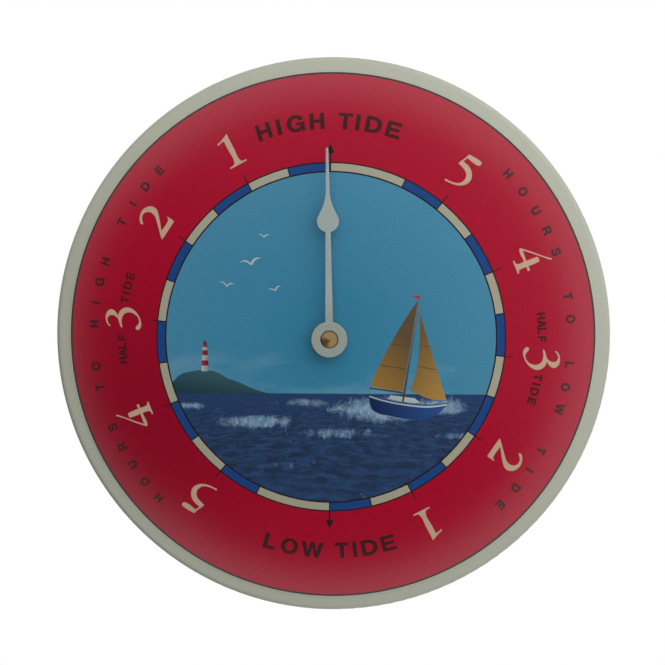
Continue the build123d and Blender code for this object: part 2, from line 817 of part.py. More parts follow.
# Setting knob in the recess of the cover, on the shaft of the motion wheel
def setting_knob():
    recess_floor = cover_inner + knob_recess_depth - cover_thickness
    front = recess_floor - knob_floor_gap
    knob = disc(knob_radius, knob_back, front, motion_place)
    for index in range(knob_grips):
        place = away(motion_place, knob_radius, index * 360 / knob_grips)
        knob -= disc(knob_grip_radius, knob_back - overrun, front + overrun, place)
    socket = knob_back + knob_socket_roof
    return knob - disc(motion_shaft_radius + thread_clearance, socket, front + overrun, motion_place)


pieces = {
    "dial_dish": dial_dish(),
    "dial_film": dial_film(),
    "case_front": case_front_shell(),
    "case_rear_cover": case_rear_cover(),
    "threaded_bushing": threaded_bushing(),
    "rubber_washer": ring(rubber_washer_radius, bushing_radius + bushing_hole_clearance, case_front, dish_inner),
    "front_washer": ring(front_washer_radius, bushing_radius + bushing_hole_clearance, film_front, nut_back),
    "hex_nut": hex_nut(),
    "tide_hand": tide_hand(),
    "hand_bushing": hand_bushing(),
    "tide_wheel": tide_wheel(),
    "motion_wheel": motion_wheel(),
    "setting_knob": setting_knob(),
    "cannon_pinion": cannon_pinion(),
    "clutch_spring": clutch_spring(),
    "clutch_collar": clutch_collar(),
    "centre_wheel": centre_wheel(),
    "third_wheel": third_wheel(),
    "fourth_wheel": fourth_wheel(),
    "fifth_wheel": fifth_wheel(),
    "rotor_pinion": rotor_pinion(),
    "rotor_magnet": rotor_magnet(),
    "stator_plate": stator_plate(),
    "coil_core": coil_core(),
    "coil_bobbin": coil_bobbin(),
    "coil_winding": coil_winding(),
    "train_plate": train_plate(),
    "plate_screws": plate_screws(),
    "circuit_board": circuit_board(),
    "circuit_chip": circuit_chip(),
    "quartz_crystal": quartz_crystal(),
    "positive_contact": positive_contact(),
    "negative_contact": negative_contact(),
    "battery": battery(),
}

# The clock is stood up, and the nail hole comes to the origin
os.makedirs("parts", exist_ok=True)
standing = Rot(90, 0, 0) * Pos(0, -nail_y, 0)
for name, piece in pieces.items():
    placed = standing * piece
    placed.label = name
    export_step(placed, f"parts/{name}.step")
    print(name, round(placed.volume, 1))
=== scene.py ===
import math

import bmesh
import bpy
from mathutils import Matrix, Vector


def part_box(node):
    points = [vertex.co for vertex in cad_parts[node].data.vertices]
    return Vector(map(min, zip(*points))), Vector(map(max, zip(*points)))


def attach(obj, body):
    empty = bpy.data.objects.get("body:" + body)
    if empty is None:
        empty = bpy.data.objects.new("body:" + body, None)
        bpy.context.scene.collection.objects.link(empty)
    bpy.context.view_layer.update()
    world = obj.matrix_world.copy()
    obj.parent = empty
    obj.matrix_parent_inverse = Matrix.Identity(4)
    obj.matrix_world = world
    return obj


# A wall tide clock: the printed dial, the hand and the finishes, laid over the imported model
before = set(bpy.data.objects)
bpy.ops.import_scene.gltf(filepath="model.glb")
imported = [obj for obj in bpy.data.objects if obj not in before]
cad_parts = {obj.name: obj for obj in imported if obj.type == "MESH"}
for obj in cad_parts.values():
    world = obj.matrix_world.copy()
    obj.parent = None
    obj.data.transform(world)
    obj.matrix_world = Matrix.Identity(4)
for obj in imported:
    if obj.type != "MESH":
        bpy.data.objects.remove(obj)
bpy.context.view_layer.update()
mm = 0.001
print("frame loaded")


# Small helpers

def toLinear(hexColor):
    # an sRGB hex value as the linear colour that nodes take
    parts = [int(hexColor[i:i + 2], 16) / 255 for i in (0, 2, 4)]
    return tuple(c / 12.92 if c <= 0.04045 else ((c + 0.055) / 1.055) ** 2.4 for c in parts) + (1.0,)


def plug(tree, node, links):
    # links: socket -> fixed value, a node for its first output, or any other output
    for socket, value in links.items():
        if isinstance(value, bpy.types.Node):
            value = value.outputs[0]
        if isinstance(value, bpy.types.NodeSocket):
            tree.links.new(value, node.inputs[socket])
        else:
            node.inputs[socket].default_value = value


def addNode(tree, kind, links=None, **settings):
    node = tree.nodes.new("ShaderNode" + kind)
    for name, value in settings.items():
        setattr(node, name, value)
    plug(tree, node, links or {})
    return node


def startMaterial(name, sockets):
    material = bpy.data.materials.new(name)
    material.use_nodes = True
    tree = material.node_tree
    shader = tree.nodes["Principled BSDF"]
    plug(tree, shader, sockets)
    return material, tree, shader


def addGrain(tree, shader, low, high, grain, bump=0.0, detail=3.0, rough=None, stretch=(1, 1, 1)):
    # mottles the colour from low to high; grain, its width, and bump, its height, are real sizes in mm
    place = addNode(tree, "TexCoord")
    scaled = addNode(tree, "Mapping", {"Vector": place.outputs["Object"], "Scale": stretch})
    noise = addNode(tree, "TexNoise", {
        "Vector": scaled, "Scale": 1 / (grain * mm), "Detail": detail, "Roughness": 0.6})
    # this noise seldom leaves 0.3 to 0.7
    spread = addNode(tree, "MapRange", {"Value": noise, "From Min": 0.3, "From Max": 0.7})
    mix = addNode(tree, "Mix", {0: spread, 6: toLinear(low), 7: toLinear(high)}, data_type="RGBA")
    plug(tree, shader, {"Base Color": mix.outputs[2]})
    if rough:
        sheen = addNode(tree, "MapRange", {"Value": spread, "To Min": rough[0], "To Max": rough[1]})
        plug(tree, shader, {"Roughness": sheen})
    if bump:
        relief = addNode(tree, "Bump", {"Height": noise, "Distance": bump * mm})
        plug(tree, shader, {"Normal": relief})
    return mix


def pieceFrom(bm, name, material, body):
    mesh = bpy.data.meshes.new(name)
    bm.to_mesh(mesh)
    bm.free()
    piece = bpy.data.objects.new(name, mesh)
    bpy.context.scene.collection.objects.link(piece)
    mesh.materials.append(material)
    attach(piece, body)
    return piece


# Camera and light

# fitted to the rings of the dial: lens in mm, tilt in radians, distance and shift in dial radii
cameraSettings = {"lens": 51.81, "tilt": (0.05743, -0.0398, -0.00487), "distance": 3.40898,
                  "shift": (-0.00920, -0.02171), "radius": 127.0 * mm, "clip": 10 * mm}


def placeCamera(s):
    rx, ry, rz = s["tilt"]
    turn = Matrix.Rotation(ry, 3, "Y") @ Matrix.Rotation(rx, 3, "X") @ Matrix.Rotation(rz, 3, "Z")
    seen = turn.transposed()
    stand = Matrix(((1, 0, 0), (0, 0, -1), (0, 1, 0)))
    spot = seen @ Vector((-s["shift"][0], -s["shift"][1], s["distance"])) * s["radius"]
    dishLow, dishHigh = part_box("dial_dish")
    middle = (dishLow + dishHigh) / 2
    data = bpy.data.cameras.new("camera")
    data.lens = s["lens"]
    data.clip_start = s["clip"]
    camera = bpy.data.objects.new("camera", data)
    bpy.context.scene.collection.objects.link(camera)
    camera.matrix_world = Matrix.Translation(stand @ spot + Vector((middle.x, dishLow.y, middle.z))) \
        @ (stand @ seen).to_4x4()
    bpy.context.scene.camera = camera


# lamps are place, size and power; the ways are directions, and dim and dark run between two angles from
# dimWay, in radians
lightSettings = {"lamps": (((0.18, -0.37, 0.21), 0.9, 3.3), ((-0.35, 0.7, 0.35), 0.8, 8.0)),
                 "fillLevel": 0.24, "dimWay": (-0.042, -1, -0.062), "dimInner": 0.348, "dimOuter": 0.446,
                 "dimLevel": 0.002, "dimSlope": 0.12, "slopeWay": (0.707, 0, 0.707),
                 "wideWay": (-0.99, 0, -0.139), "wideFrom": 0.68, "wideBy": 0.035,
                 "darkWay": (-0.829, 0, -0.559), "darkFrom": 0.45, "darkLevel": 0.05,
                 "darkInner": 0.472, "darkOuter": 0.515,
                 "floorHeight": -0.60, "floorSize": 1.9, "floorLow": "e6e6e3", "floorHigh": "eaeae8",
                 "floorMottle": 1.5, "floorShine": "e9e9e7", "floorGlow": 0.45}


def placeLamps(s):
    for place, size, power in s["lamps"]:
        data = bpy.data.lights.new("lamp", "AREA")
        data.energy = power
        data.shape = "DISK"
        data.size = size
        lamp = bpy.data.objects.new("lamp", data)
        bpy.context.scene.collection.objects.link(lamp)
        lamp.location = place
        lamp.rotation_euler = (-lamp.location).to_track_quat("-Z", "Y").to_euler()
        # shiny faces and the camera see the white room instead of the lamp
        lamp.visible_glossy = False
        lamp.visible_camera = False


def paintRoom(s):
    # a white room that is dim straight in front of the dial: the dim patch reaches wider to the left, and
    # beyond it the lower left is dark
    world = bpy.data.worlds.new("room")
    bpy.context.scene.world = world
    world.use_nodes = True
    tree = world.node_tree
    tree.nodes.clear()
    way = addNode(tree, "TexCoord").outputs["Generated"]
    front = addNode(tree, "VectorMath", {0: way, 1: s["dimWay"]}, operation="DOT_PRODUCT")
    angle = addNode(tree, "Math", {0: front.outputs["Value"]}, operation="ARCCOSINE")
    flat = addNode(tree, "VectorMath", {0: way, 1: (1, 0, 1)}, operation="MULTIPLY")
    aside = addNode(tree, "VectorMath", {0: flat}, operation="NORMALIZE")
    sectors = []
    for name in ("wide", "dark"):
        towards = addNode(tree, "VectorMath", {0: aside, 1: s[name + "Way"]}, operation="DOT_PRODUCT")
        sectors.append(addNode(tree, "MapRange", {
            "Value": towards.outputs["Value"], "From Min": s[name + "From"]},
            interpolation_type="SMOOTHSTEP"))
    wide, dark = sectors
    away = addNode(tree, "Math", {0: wide, 1: -s["wideBy"], 2: angle}, operation="MULTIPLY_ADD")
    wall = addNode(tree, "MapRange", {"Value": away, "From Min": s["dimInner"], "From Max": s["dimOuter"]},
                   interpolation_type="SMOOTHSTEP")
    deep = addNode(tree, "MapRange", {
        "Value": angle, "From Min": s["darkInner"], "From Max": s["darkOuter"],
        "To Max": s["darkLevel"] - 1}, interpolation_type="SMOOTHSTEP")
    shade = addNode(tree, "Math", {0: dark, 1: deep, 2: 1.0}, operation="MULTIPLY_ADD")
    slope = addNode(tree, "VectorMath", {0: flat, 1: s["slopeWay"]}, operation="DOT_PRODUCT")
    dim = addNode(tree, "Math", {0: slope.outputs["Value"], 1: s["dimSlope"], 2: s["dimLevel"]},
                  operation="MULTIPLY_ADD", use_clamp=True)
    shown = addNode(tree, "Mix", {0: wall, 2: dim, 3: shade})
    path = addNode(tree, "LightPath").outputs
    shiny = addNode(tree, "Math", {0: path["Is Glossy Ray"], 1: path["Is Transmission Ray"]},
                    operation="MAXIMUM")
    level = addNode(tree, "Mix", {0: shiny, 2: s["fillLevel"], 3: shown})
    seen = addNode(tree, "Math", {0: path["Is Camera Ray"], 1: level}, operation="MAXIMUM")
    room = addNode(tree, "Background", {"Color": (1, 1, 1, 1), "Strength": seen})
    addNode(tree, "OutputWorld", {"Surface": room})


def layFloor(s):
    bm = bmesh.new()
    bmesh.ops.create_grid(bm, x_segments=2, y_segments=2, size=s["floorSize"] / 2)
    bmesh.ops.translate(bm, verts=bm.verts, vec=(0, 0, s["floorHeight"]))
    mesh = bpy.data.meshes.new("floor")
    bm.to_mesh(mesh)
    bm.free()
    floor = bpy.data.objects.new("floor", mesh)
    bpy.context.scene.collection.objects.link(floor)
    # pale matt paint: the camera sees it paler than the lamps would leave it, with the shadow kept
    paint, tree, shader = startMaterial("paleFloorPaint", {
        "Roughness": 0.8, "Emission Color": toLinear(s["floorShine"])})
    addGrain(tree, shader, s["floorLow"], s["floorHigh"], s["floorMottle"])
    path = addNode(tree, "LightPath")
    glow = addNode(tree, "Math", {0: path.outputs["Is Camera Ray"], 1: s["floorGlow"]},
                   operation="MULTIPLY")
    plug(tree, shader, {"Emission Strength": glow})
    mesh.materials.append(paint)
    # the lower half of the dial reflects the room, not the floor
    floor.visible_glossy = False


placeCamera(cameraSettings)
placeLamps(lightSettings)
paintRoom(lightSettings)
layFloor(lightSettings)
bpy.context.scene.view_settings.view_transform = "Standard"
print("camera and light placed")


# The crowned face that carries the print: its middle in the frame, then in mm its flat, the large radius
# round that, how often shapes are cut to follow it, and the weld, within which points are one
filmLow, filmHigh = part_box("dial_film")
face = {"x": (filmLow.x + filmHigh.x) / 2, "y": filmLow.y, "z": (filmLow.z + filmHigh.z) / 2,
        "flat": 30.0, "crown": 1047.9, "cut": 4.0, "weld": 0.0005}
# how far off the film each pull of ink lies, in mm, so that a later pull covers an earlier one
pull = {"ground": 0.02, "colour": 0.04, "top": 0.06}


def drape(bm, lift):
    # shapes are drawn flat in mm, x right and y up, then laid on the crown, so many mm off the film
    for v in bm.verts:
        x, y = v.co.xy
        out = max(0.0, math.hypot(x, y) - face["flat"])
        drop = face["crown"] - math.sqrt(face["crown"] ** 2 - out ** 2)
        v.co = (face["x"] + x * mm, face["y"] + (drop - lift) * mm, face["z"] + y * mm)
    bm.normal_update()
    bmesh.ops.reverse_faces(bm, faces=[f for f in bm.faces if f.normal.y > 0])
    for f in bm.faces:
        f.smooth = True


def crownNormal(place):
    # the direction that the crown faces at a place on it
    x, z = place.x - face["x"], place.z - face["z"]
    r = math.hypot(x, z)
    lean = max(0.0, r / mm - face["flat"]) / face["crown"]
    if lean == 0:
        return Vector((0, -1, 0))
    return Vector((x / r * lean, -math.sqrt(1 - lean * lean), z / r * lean))


def printInk(bm, name, ink, lift):
    # every ink shines as the smooth crown does, whatever its outline
    bmesh.ops.remove_doubles(bm, verts=bm.verts, dist=face["weld"])
    drape(bm, lift)
    piece = pieceFrom(bm, name, ink, "clock")
    piece.data.normals_split_custom_set_from_vertices([crownNormal(v.co) for v in piece.data.vertices])


def addSector(bm, inner, outer, start=0, end=360, cuts=0, step=1.5):
    # part of a ring between two angles, in degrees clockwise from the top, radii in mm; cuts divide its
    # width, and step is the length of a side in degrees
    way = Vector((math.sin(math.radians(start)), math.cos(math.radians(start)), 0))
    edges = [bm.edges.new([bm.verts.new(way * inner), bm.verts.new(way * outer)])]
    if cuts:
        parts = bmesh.ops.subdivide_edges(bm, edges=edges, cuts=cuts)["geom_split"]
        edges = [g for g in parts if isinstance(g, bmesh.types.BMEdge)]
    points = list(dict.fromkeys(v for e in edges for v in e.verts))
    sweep = end - start
    bmesh.ops.spin(bm, geom=points + edges, axis=(0, 0, -1), cent=(0, 0, 0), angle=math.radians(sweep),
                   steps=max(2, round(sweep / step)), use_merge=sweep == 360)


def addStroke(bm, inner, outer, width, angle, endWidth=None):
    # a straight stroke along a radius, tapering to endWidth
    made = bmesh.ops.create_grid(bm, x_segments=1, y_segments=3, size=0.5)["verts"]
    far = width if endWidth is None else endWidth
    for v in made:
        share = v.co.y + 0.5  # 0 at the inner end, 1 at the outer
        v.co = Vector((v.co.x * (width + (far - width) * share), inner + (outer - inner) * share, 0))
    bmesh.ops.rotate(bm, verts=made, cent=(0, 0, 0), matrix=Matrix.Rotation(-math.radians(angle), 3, "Z"))


def addOutlines(bm, outlines, matrix=Matrix(), widen=0.0):
    # closed outlines, one inside another is a hole; a point with a third value is a corner, and widen moves
    # the edges out
    curve = bpy.data.curves.new("outline", "CURVE")
    curve.dimensions = "2D"
    curve.fill_mode = "BOTH"
    curve.resolution_u = 6
    curve.offset = widen
    for points in outlines:
        spline = curve.splines.new("BEZIER")
        spline.bezier_points.add(len(points) - 1)
        spline.use_cyclic_u = True
        for knot, (x, y, *corner) in zip(spline.bezier_points, points):
            knot.co = (x, y, 0)
            knot.handle_left_type = knot.handle_right_type = "VECTOR" if corner else "AUTO"
    carrier = bpy.data.objects.new("outline", curve)
    mesh = bpy.data.meshes.new_from_object(carrier)
    bpy.data.objects.remove(carrier)
    first = len(bm.verts)
    bm.from_mesh(mesh)
    bpy.data.meshes.remove(mesh)
    bm.verts.ensure_lookup_table()
    bmesh.ops.transform(bm, matrix=matrix, verts=bm.verts[first:])


def cutForCrown(bm):
    # large flat shapes are cut into small ones, so that they follow the crown
    spread = [v.co.x for v in bm.verts] + [v.co.y for v in bm.verts]
    reach = math.ceil(max(abs(c) for c in spread) / face["cut"])
    for axis in (Vector((1, 0, 0)), Vector((0, 1, 0))):
        for k in range(-reach, reach + 1):
            bmesh.ops.bisect_plane(bm, geom=bm.verts[:] + bm.edges[:] + bm.faces[:], plane_no=axis,
                                   plane_co=axis * k * face["cut"])


# Print inks: screen printed film under a smooth clear laminate, which gives every ink the same soft shine

def startInk(name):
    return startMaterial(name, {"Roughness": 0.12, "IOR": 1.6})


def plainInk(name, low, high, grain):
    # solid ink with a faint mottle, as wide as the grain in mm
    material, tree, shader = startInk(name)
    addGrain(tree, shader, low, high, grain)
    return material


# the width of the mottle, and where the painted shade darkens the red and how far round, in mm
redSettings = {"low": "9f0d29", "high": "a5102d", "mottle": 2.4, "paintedShade": "8d0c26",
               "paintedShadeAt": (-90, -20, -76), "paintedShadeReach": 100}


def redInk(s):
    # solid red, with painted shade that darkens it towards the lower left
    material, tree, shader = startInk("redScreenInk")
    mottled = addGrain(tree, shader, s["low"], s["high"], s["mottle"])
    # painted shade: the red is darkened towards the lower left, full at paintedShadeAt
    place = addNode(tree, "TexCoord")
    apart = addNode(tree, "VectorMath", {0: place.outputs["Object"], 1: [c * mm for c in s["paintedShadeAt"]]},
                    operation="DISTANCE")
    near = addNode(tree, "MapRange", {
        "Value": apart.outputs["Value"], "From Min": s["paintedShadeReach"] * mm, "From Max": 0.0},
        interpolation_type="SMOOTHSTEP")
    ink = addNode(tree, "Mix", {0: near, 6: mottled.outputs[2], 7: toLinear(s["paintedShade"])}, data_type="RGBA")
    plug(tree, shader, {"Base Color": ink.outputs[2]})
    return material


creamInk = plainInk("creamScreenInk", "9c9986", "a39f8c", grain=1.0)
blueInk = plainInk("blueScreenInk", "1b3f7a", "214681", grain=1.2)
blackInk = plainInk("blackScreenInk", "221a1d", "2a2023", grain=1.2)
# black printed over the red, which warms it
letterInk = plainInk("overprintedBlackInk", "3a191d", "421e21", grain=1.2)
ivoryInk = plainInk("ivoryScreenInk", "b89a81", "c0a289", grain=1.0)


# The red ring, the band of half hours, the ticks and the fine lines, in mm and degrees
band = {"outer": 79.1, "inner": 75.05, "outerLine": 0.6, "innerLine": 0.65, "separator": 0.55, "tick": 0.42,
        "tickReach": 83.0, "halfHour": 14.07, "sectors": 12, "border": 119.3, "borderLine": 0.8,
        "arrowStem": 0.7, "arrowFoot": 83.4, "arrowTip": 87.5, "arrowWidth": 3.5, "arrowPoint": 0.05}


def makeBand(s):
    red, cream, blue, black = bmesh.new(), bmesh.new(), bmesh.new(), bmesh.new()
    addSector(red, s["outer"] - s["outerLine"] / 2, s["border"], cuts=30, step=1.0)
    # half hours are counted back from the tide ahead, and the last sector of each half takes what is left
    for half in (0, 180):
        for k in range(s["sectors"]):
            end = 180 - s["halfHour"] * k + half
            start = half if k == s["sectors"] - 1 else end - s["halfHour"]
            addSector(cream if k % 2 else blue, s["inner"], s["outer"], start, end, cuts=1)
            addStroke(black, s["inner"], s["outer"], s["separator"], end)
            if k and k % 2 == 0:
                addStroke(black, s["outer"], s["tickReach"], s["tick"], end)
        addStroke(black, s["outer"], s["arrowFoot"], s["arrowStem"], half)
        addStroke(black, s["arrowFoot"], s["arrowTip"], s["arrowWidth"], half, s["arrowPoint"])
    for line in ("outer", "inner", "border"):
        width = s[line + "Line"]
        addSector(black, s[line] - width / 2, s[line] + width / 2, step=1.0)
    printInk(red, "print_red_ring", redInk(redSettings), pull["ground"])
    printInk(cream, "print_cream_band", creamInk, pull["colour"])
    printInk(blue, "print_blue_band", blueInk, pull["colour"])
    printInk(black, "print_black_lines", blackInk, pull["top"])


makeBand(band)
print("band printed")


# Numerals, drawn as outlines in mm: across, and out from the shaft
numerals = {
    "1": [(-3.9, 100.9, 1), (-4.2, 101.6), (-2.2, 102.4), (0.2, 103.4), (1.9, 104.2, 1), (1.85, 97),
          (1.8, 91.2), (2.3, 90.2), (4.5, 89.9, 1), (4.5, 89.0, 1), (-4.0, 89.0, 1), (-4.0, 89.9, 1),
          (-1.8, 90.2), (-1.1, 91.2), (-1.0, 97), (-0.95, 101.4, 1), (-1.7, 101.5)],
    "2": [(-4.6, 100.1, 1), (-5.0, 101.0), (-4.0, 102.6), (-2.0, 103.8), (0.4, 104.2), (2.8, 103.4),
          (4.4, 101.8), (4.9, 100.0), (4.5, 98.3), (3.6, 97.1), (1.6, 95.0), (-0.4, 93.1), (-2.0, 91.6, 1),
          (3.0, 91.6), (3.8, 91.9), (4.15, 93.0, 1), (4.8, 92.8, 1), (4.8, 90.9), (4.6, 88.9, 1),
          (-5.4, 88.9, 1), (-5.2, 89.8, 1), (-4.2, 90.9), (-2.2, 93.2), (-0.4, 95.3), (1.2, 97.4),
          (1.8, 99.2), (1.6, 100.9), (0.8, 102.0), (-0.5, 102.6), (-2.0, 102.3), (-3.2, 101.5),
          (-4.0, 100.4)],
    "3": [(-4.6, 101.0, 1), (-4.7, 102.0), (-3.8, 103.2), (-2.0, 104.1), (0.0, 104.3), (2.0, 103.6),
          (3.1, 102.0), (2.8, 100.4), (1.8, 99.2), (0.7, 98.4, 1), (2.1, 98.1), (3.6, 97.0), (4.6, 95.2),
          (4.6, 93.0), (3.6, 90.9), (1.8, 89.0), (-0.4, 87.7), (-2.8, 87.1), (-4.6, 87.7), (-5.3, 88.8),
          (-4.8, 89.7), (-3.8, 89.7), (-2.4, 88.7), (-1.0, 88.5), (0.5, 89.2), (1.7, 90.6), (2.3, 92.4),
          (2.2, 94.0), (1.4, 95.4), (0.0, 96.2), (-2.0, 96.4), (-3.6, 96.1), (-4.7, 95.7, 1), (-4.8, 96.5),
          (-2.8, 97.6), (-1.0, 98.5), (0.0, 99.8), (0.3, 101.2), (-0.1, 102.4), (-1.2, 103.1),
          (-2.8, 102.8), (-4.0, 101.8)],
    "4": [(4.6, 105.8), (5.2, 105.2, 1), (2.8, 102.5), (0.8, 100.2), (-1.4, 97.7), (-3.5, 95.1, 1),
          (1.05, 94.9, 1), (1.2, 99.8, 1), (1.7, 100.3), (3.7, 100.3, 1), (3.9, 97.5), (3.9, 94.8, 1),
          (5.7, 94.8), (5.9, 94.2), (5.7, 93.7), (3.9, 93.7, 1), (3.85, 91.0), (4.2, 90.2), (5.2, 89.9, 1),
          (5.2, 89.0, 1), (-1.1, 89.0, 1), (-1.1, 89.9, 1), (0.6, 90.2), (1.0, 91.0), (1.0, 93.6, 1),
          (-4.6, 93.6), (-5.2, 94.3), (-4.6, 95.2), (-2.9, 97.3), (-0.8, 99.7), (1.6, 102.3), (3.6, 104.7)],
    "5": [(-4.3, 103.4), (-3.6, 103.6), (2.4, 104.1), (2.7, 103.6), (2.6, 102.4), (1.8, 101.8),
          (-3.8, 101.4, 1), (-4.1, 100.2), (-4.3, 99.4, 1), (-2.4, 99.4), (0.0, 98.9), (2.0, 97.6),
          (3.4, 95.6), (3.6, 93.4), (2.8, 91.5), (1.2, 89.8), (-1.2, 88.5), (-4.0, 87.7), (-5.6, 87.5),
          (-5.8, 88.1), (-4.0, 88.6), (-1.6, 89.5), (0.2, 90.7), (1.0, 92.3), (1.05, 93.9), (0.4, 95.3),
          (-1.2, 96.4), (-3.6, 96.9), (-5.7, 97.1, 1), (-5.6, 98.2), (-5.1, 99.9), (-4.7, 101.7)],
}
# places are degrees clockwise from the top, then mm across and outwards; widen moves each edge out, in mm
numeralSettings = {"widen": -0.12, "places": {
    "1": ((151.86, 0, 0), (331.86, 0.15, -0.6)), "2": ((123.72, 0, 0), (303.72, 0, -0.7)),
    "3": ((95.58, 0, 0), (275.58, 0, -0.7)), "4": ((67.44, 0, 0), (247.44, -0.3, -0.7)),
    "5": ((39.3, 0, 0), (219.3, 1.45, -0.65))}}


def makeNumerals(s):
    bm = bmesh.new()
    for figure, places in s["places"].items():
        for angle, across, outward in places:
            turn = Matrix.Rotation(-math.radians(angle), 4, "Z") @ Matrix.Translation((across, outward, 0))
            addOutlines(bm, [numerals[figure]], turn, s["widen"])
    cutForCrown(bm)
    printInk(bm, "print_numerals", ivoryInk, pull["top"])


makeNumerals(numeralSettings)
print("numerals printed")


# Plain block capitals, drawn as outlines in tenths of their height
capitalHeight = 10
capitals = {
    "A": [[(0, 0, 1), (2.9, 0, 1), (3.7, 2.2, 1), (6.9, 2.2, 1), (7.7, 0, 1), (10.6, 0, 1), (6.8, 10, 1),
           (3.8, 10, 1)],
          [(4.4, 4.1, 1), (6.2, 4.1, 1), (5.3, 6.9, 1)]],
    "D": [[(0, 0, 1), (4.6, 0), (7.5, 0.6), (9.5, 2.4), (10.1, 5), (9.5, 7.6), (7.5, 9.4), (4.6, 10),
           (0, 10, 1)],
          [(2.6, 2.1, 1), (4.5, 2.1), (6.6, 2.9), (7.4, 5), (6.6, 7.1), (4.5, 7.9), (2.6, 7.9, 1)]],
    "E": [[(0, 0, 1), (9, 0, 1), (9, 2.1, 1), (2.6, 2.1, 1), (2.6, 4.1, 1), (8.2, 4.1, 1), (8.2, 6.0, 1),
           (2.6, 6.0, 1), (2.6, 7.9, 1), (8.8, 7.9, 1), (8.8, 10, 1), (0, 10, 1)]],
    "F": [[(0, 0, 1), (2.6, 0, 1), (2.6, 3.8, 1), (7.4, 3.8, 1), (7.4, 5.8, 1), (2.6, 5.8, 1),
           (2.6, 7.9, 1), (8.2, 7.9, 1), (8.2, 10, 1), (0, 10, 1)]],
    "G": [[(10.6, 7.0, 1), (9.6, 9.0), (7.6, 10.0), (5.6, 10.3), (2.7, 9.5), (0.6, 7.5), (0, 5), (0.6, 2.5),
           (2.6, 0.5), (5.3, -0.3), (7.3, 0.1), (8.7, 1.2, 1), (9.0, 0, 1), (10.9, 0, 1), (10.9, 5.6, 1),
           (5.9, 5.6, 1), (5.9, 3.7, 1), (8.4, 3.7, 1), (7.6, 2.3), (5.7, 1.8), (3.7, 2.6), (2.8, 5),
           (3.7, 7.4), (5.7, 8.2), (7.2, 7.8), (7.9, 6.6, 1)]],
    "H": [[(0, 0, 1), (2.6, 0, 1), (2.6, 4, 1), (6.5, 4, 1), (6.5, 0, 1), (9.1, 0, 1), (9.1, 10, 1),
           (6.5, 10, 1), (6.5, 6.1, 1), (2.6, 6.1, 1), (2.6, 10, 1), (0, 10, 1)]],
    "I": [[(0, 0, 1), (2.6, 0, 1), (2.6, 10, 1), (0, 10, 1)]],
    "L": [[(0, 0, 1), (7.8, 0, 1), (7.8, 2.2, 1), (2.6, 2.2, 1), (2.6, 10, 1), (0, 10, 1)]],
    "O": [[(5.4, 10.3), (9.2, 8.6), (10.8, 5), (9.2, 1.4), (5.4, -0.3), (1.6, 1.4), (0, 5), (1.6, 8.6)],
          [(5.4, 8.2), (7.4, 7.2), (8.1, 5), (7.4, 2.8), (5.4, 1.8), (3.4, 2.8), (2.7, 5), (3.4, 7.2)]],
    "R": [[(0, 0, 1), (2.6, 0, 1), (2.6, 3.7, 1), (4.6, 3.7), (6.0, 3.3), (6.5, 2.2), (6.6, 0.8),
           (6.9, 0, 1), (9.8, 0, 1), (9.3, 0.9), (9.1, 2.4), (8.6, 3.9), (7.4, 4.8), (8.9, 5.6), (9.4, 7.2),
           (8.8, 9.0), (6.9, 9.9), (5.0, 10), (0, 10, 1)],
          [(2.6, 5.7, 1), (5.0, 5.7), (6.5, 6.1), (6.8, 6.9), (6.5, 7.7), (5.0, 8.0), (2.6, 8.0, 1)]],
    "S": [[(9.0, 7.2, 1), (8.3, 9.1), (6.6, 10.1), (4.5, 10.3), (2.2, 9.9), (0.7, 8.7), (0.4, 7.1),
           (1.2, 5.4), (3.4, 4.5), (5.6, 4.0), (6.6, 3.4), (6.6, 2.5), (5.6, 1.8), (4.3, 1.7), (3.0, 2.1),
           (2.5, 3.2, 1), (0, 3.0, 1), (0.6, 1.2), (2.2, 0), (4.6, -0.3), (7.2, 0.1), (8.9, 1.4),
           (9.3, 3.1), (8.6, 4.9), (6.4, 5.8), (4.0, 6.3), (3.0, 6.9), (3.0, 7.7), (4.0, 8.3), (5.3, 8.2),
           (6.2, 7.6), (6.5, 6.9, 1)]],
    "T": [[(3.1, 0, 1), (5.7, 0, 1), (5.7, 7.9, 1), (8.8, 7.9, 1), (8.8, 10, 1), (0, 10, 1), (0, 7.9, 1),
           (3.1, 7.9, 1)]],
    "U": [[(0, 10, 1), (0, 3.8), (0.9, 1.1), (3.0, -0.1), (4.8, -0.3), (6.6, -0.1), (8.7, 1.1), (9.6, 3.8),
           (9.6, 10, 1), (7.0, 10, 1), (7.0, 4.2), (6.5, 2.5), (4.8, 1.9), (3.1, 2.5), (2.6, 4.2),
           (2.6, 10, 1)]],
    "W": [[(0, 10, 1), (2.8, 0, 1), (5.4, 0, 1), (7.0, 6.4, 1), (8.6, 0, 1), (11.2, 0, 1), (14.0, 10, 1),
           (11.4, 10, 1), (9.8, 3.9, 1), (8.3, 10, 1), (5.7, 10, 1), (4.2, 3.9, 1), (2.6, 10, 1)]],
}
# The words that any tide dial needs. A letter's angle is clockwise from the top, cap is its height in mm,
# wide stretches it, widen moves its edges out, in tenths of its height, and turned puts its foot outwards.
# arcs give the middle of a line of words and the pitch of its letters, in degrees
tideWords = {"radius": 97.8, "cap": 7.3, "wide": 1.0, "widen": 0.0,
             "high": (-17.9, -13.8, -9.3, -3.6, 3.9, 7.2, 11.4, 16.75),
             "low": (196.3, 190.9, 184.7, 176.65, 173.2, 169.2, 164.0)}
halfWords = {"radius": 95.5, "cap": 3.9, "wide": 0.87, "widen": 0.0, "middles": (95.58, 275.58),
             "steps": (-11.9, -9.8, -7.9, -5.6, 4.8, 6.7, 8.8, 11.5)}
hourWords = {"radius": 108.7, "cap": 4.0, "wide": 0.9, "widen": 0.15,
             "arcs": {"HOURS TO LOW TIDE": (90.6, 5.45), "HOURS TO HIGH TIDE": (270.6, 5.15)}}


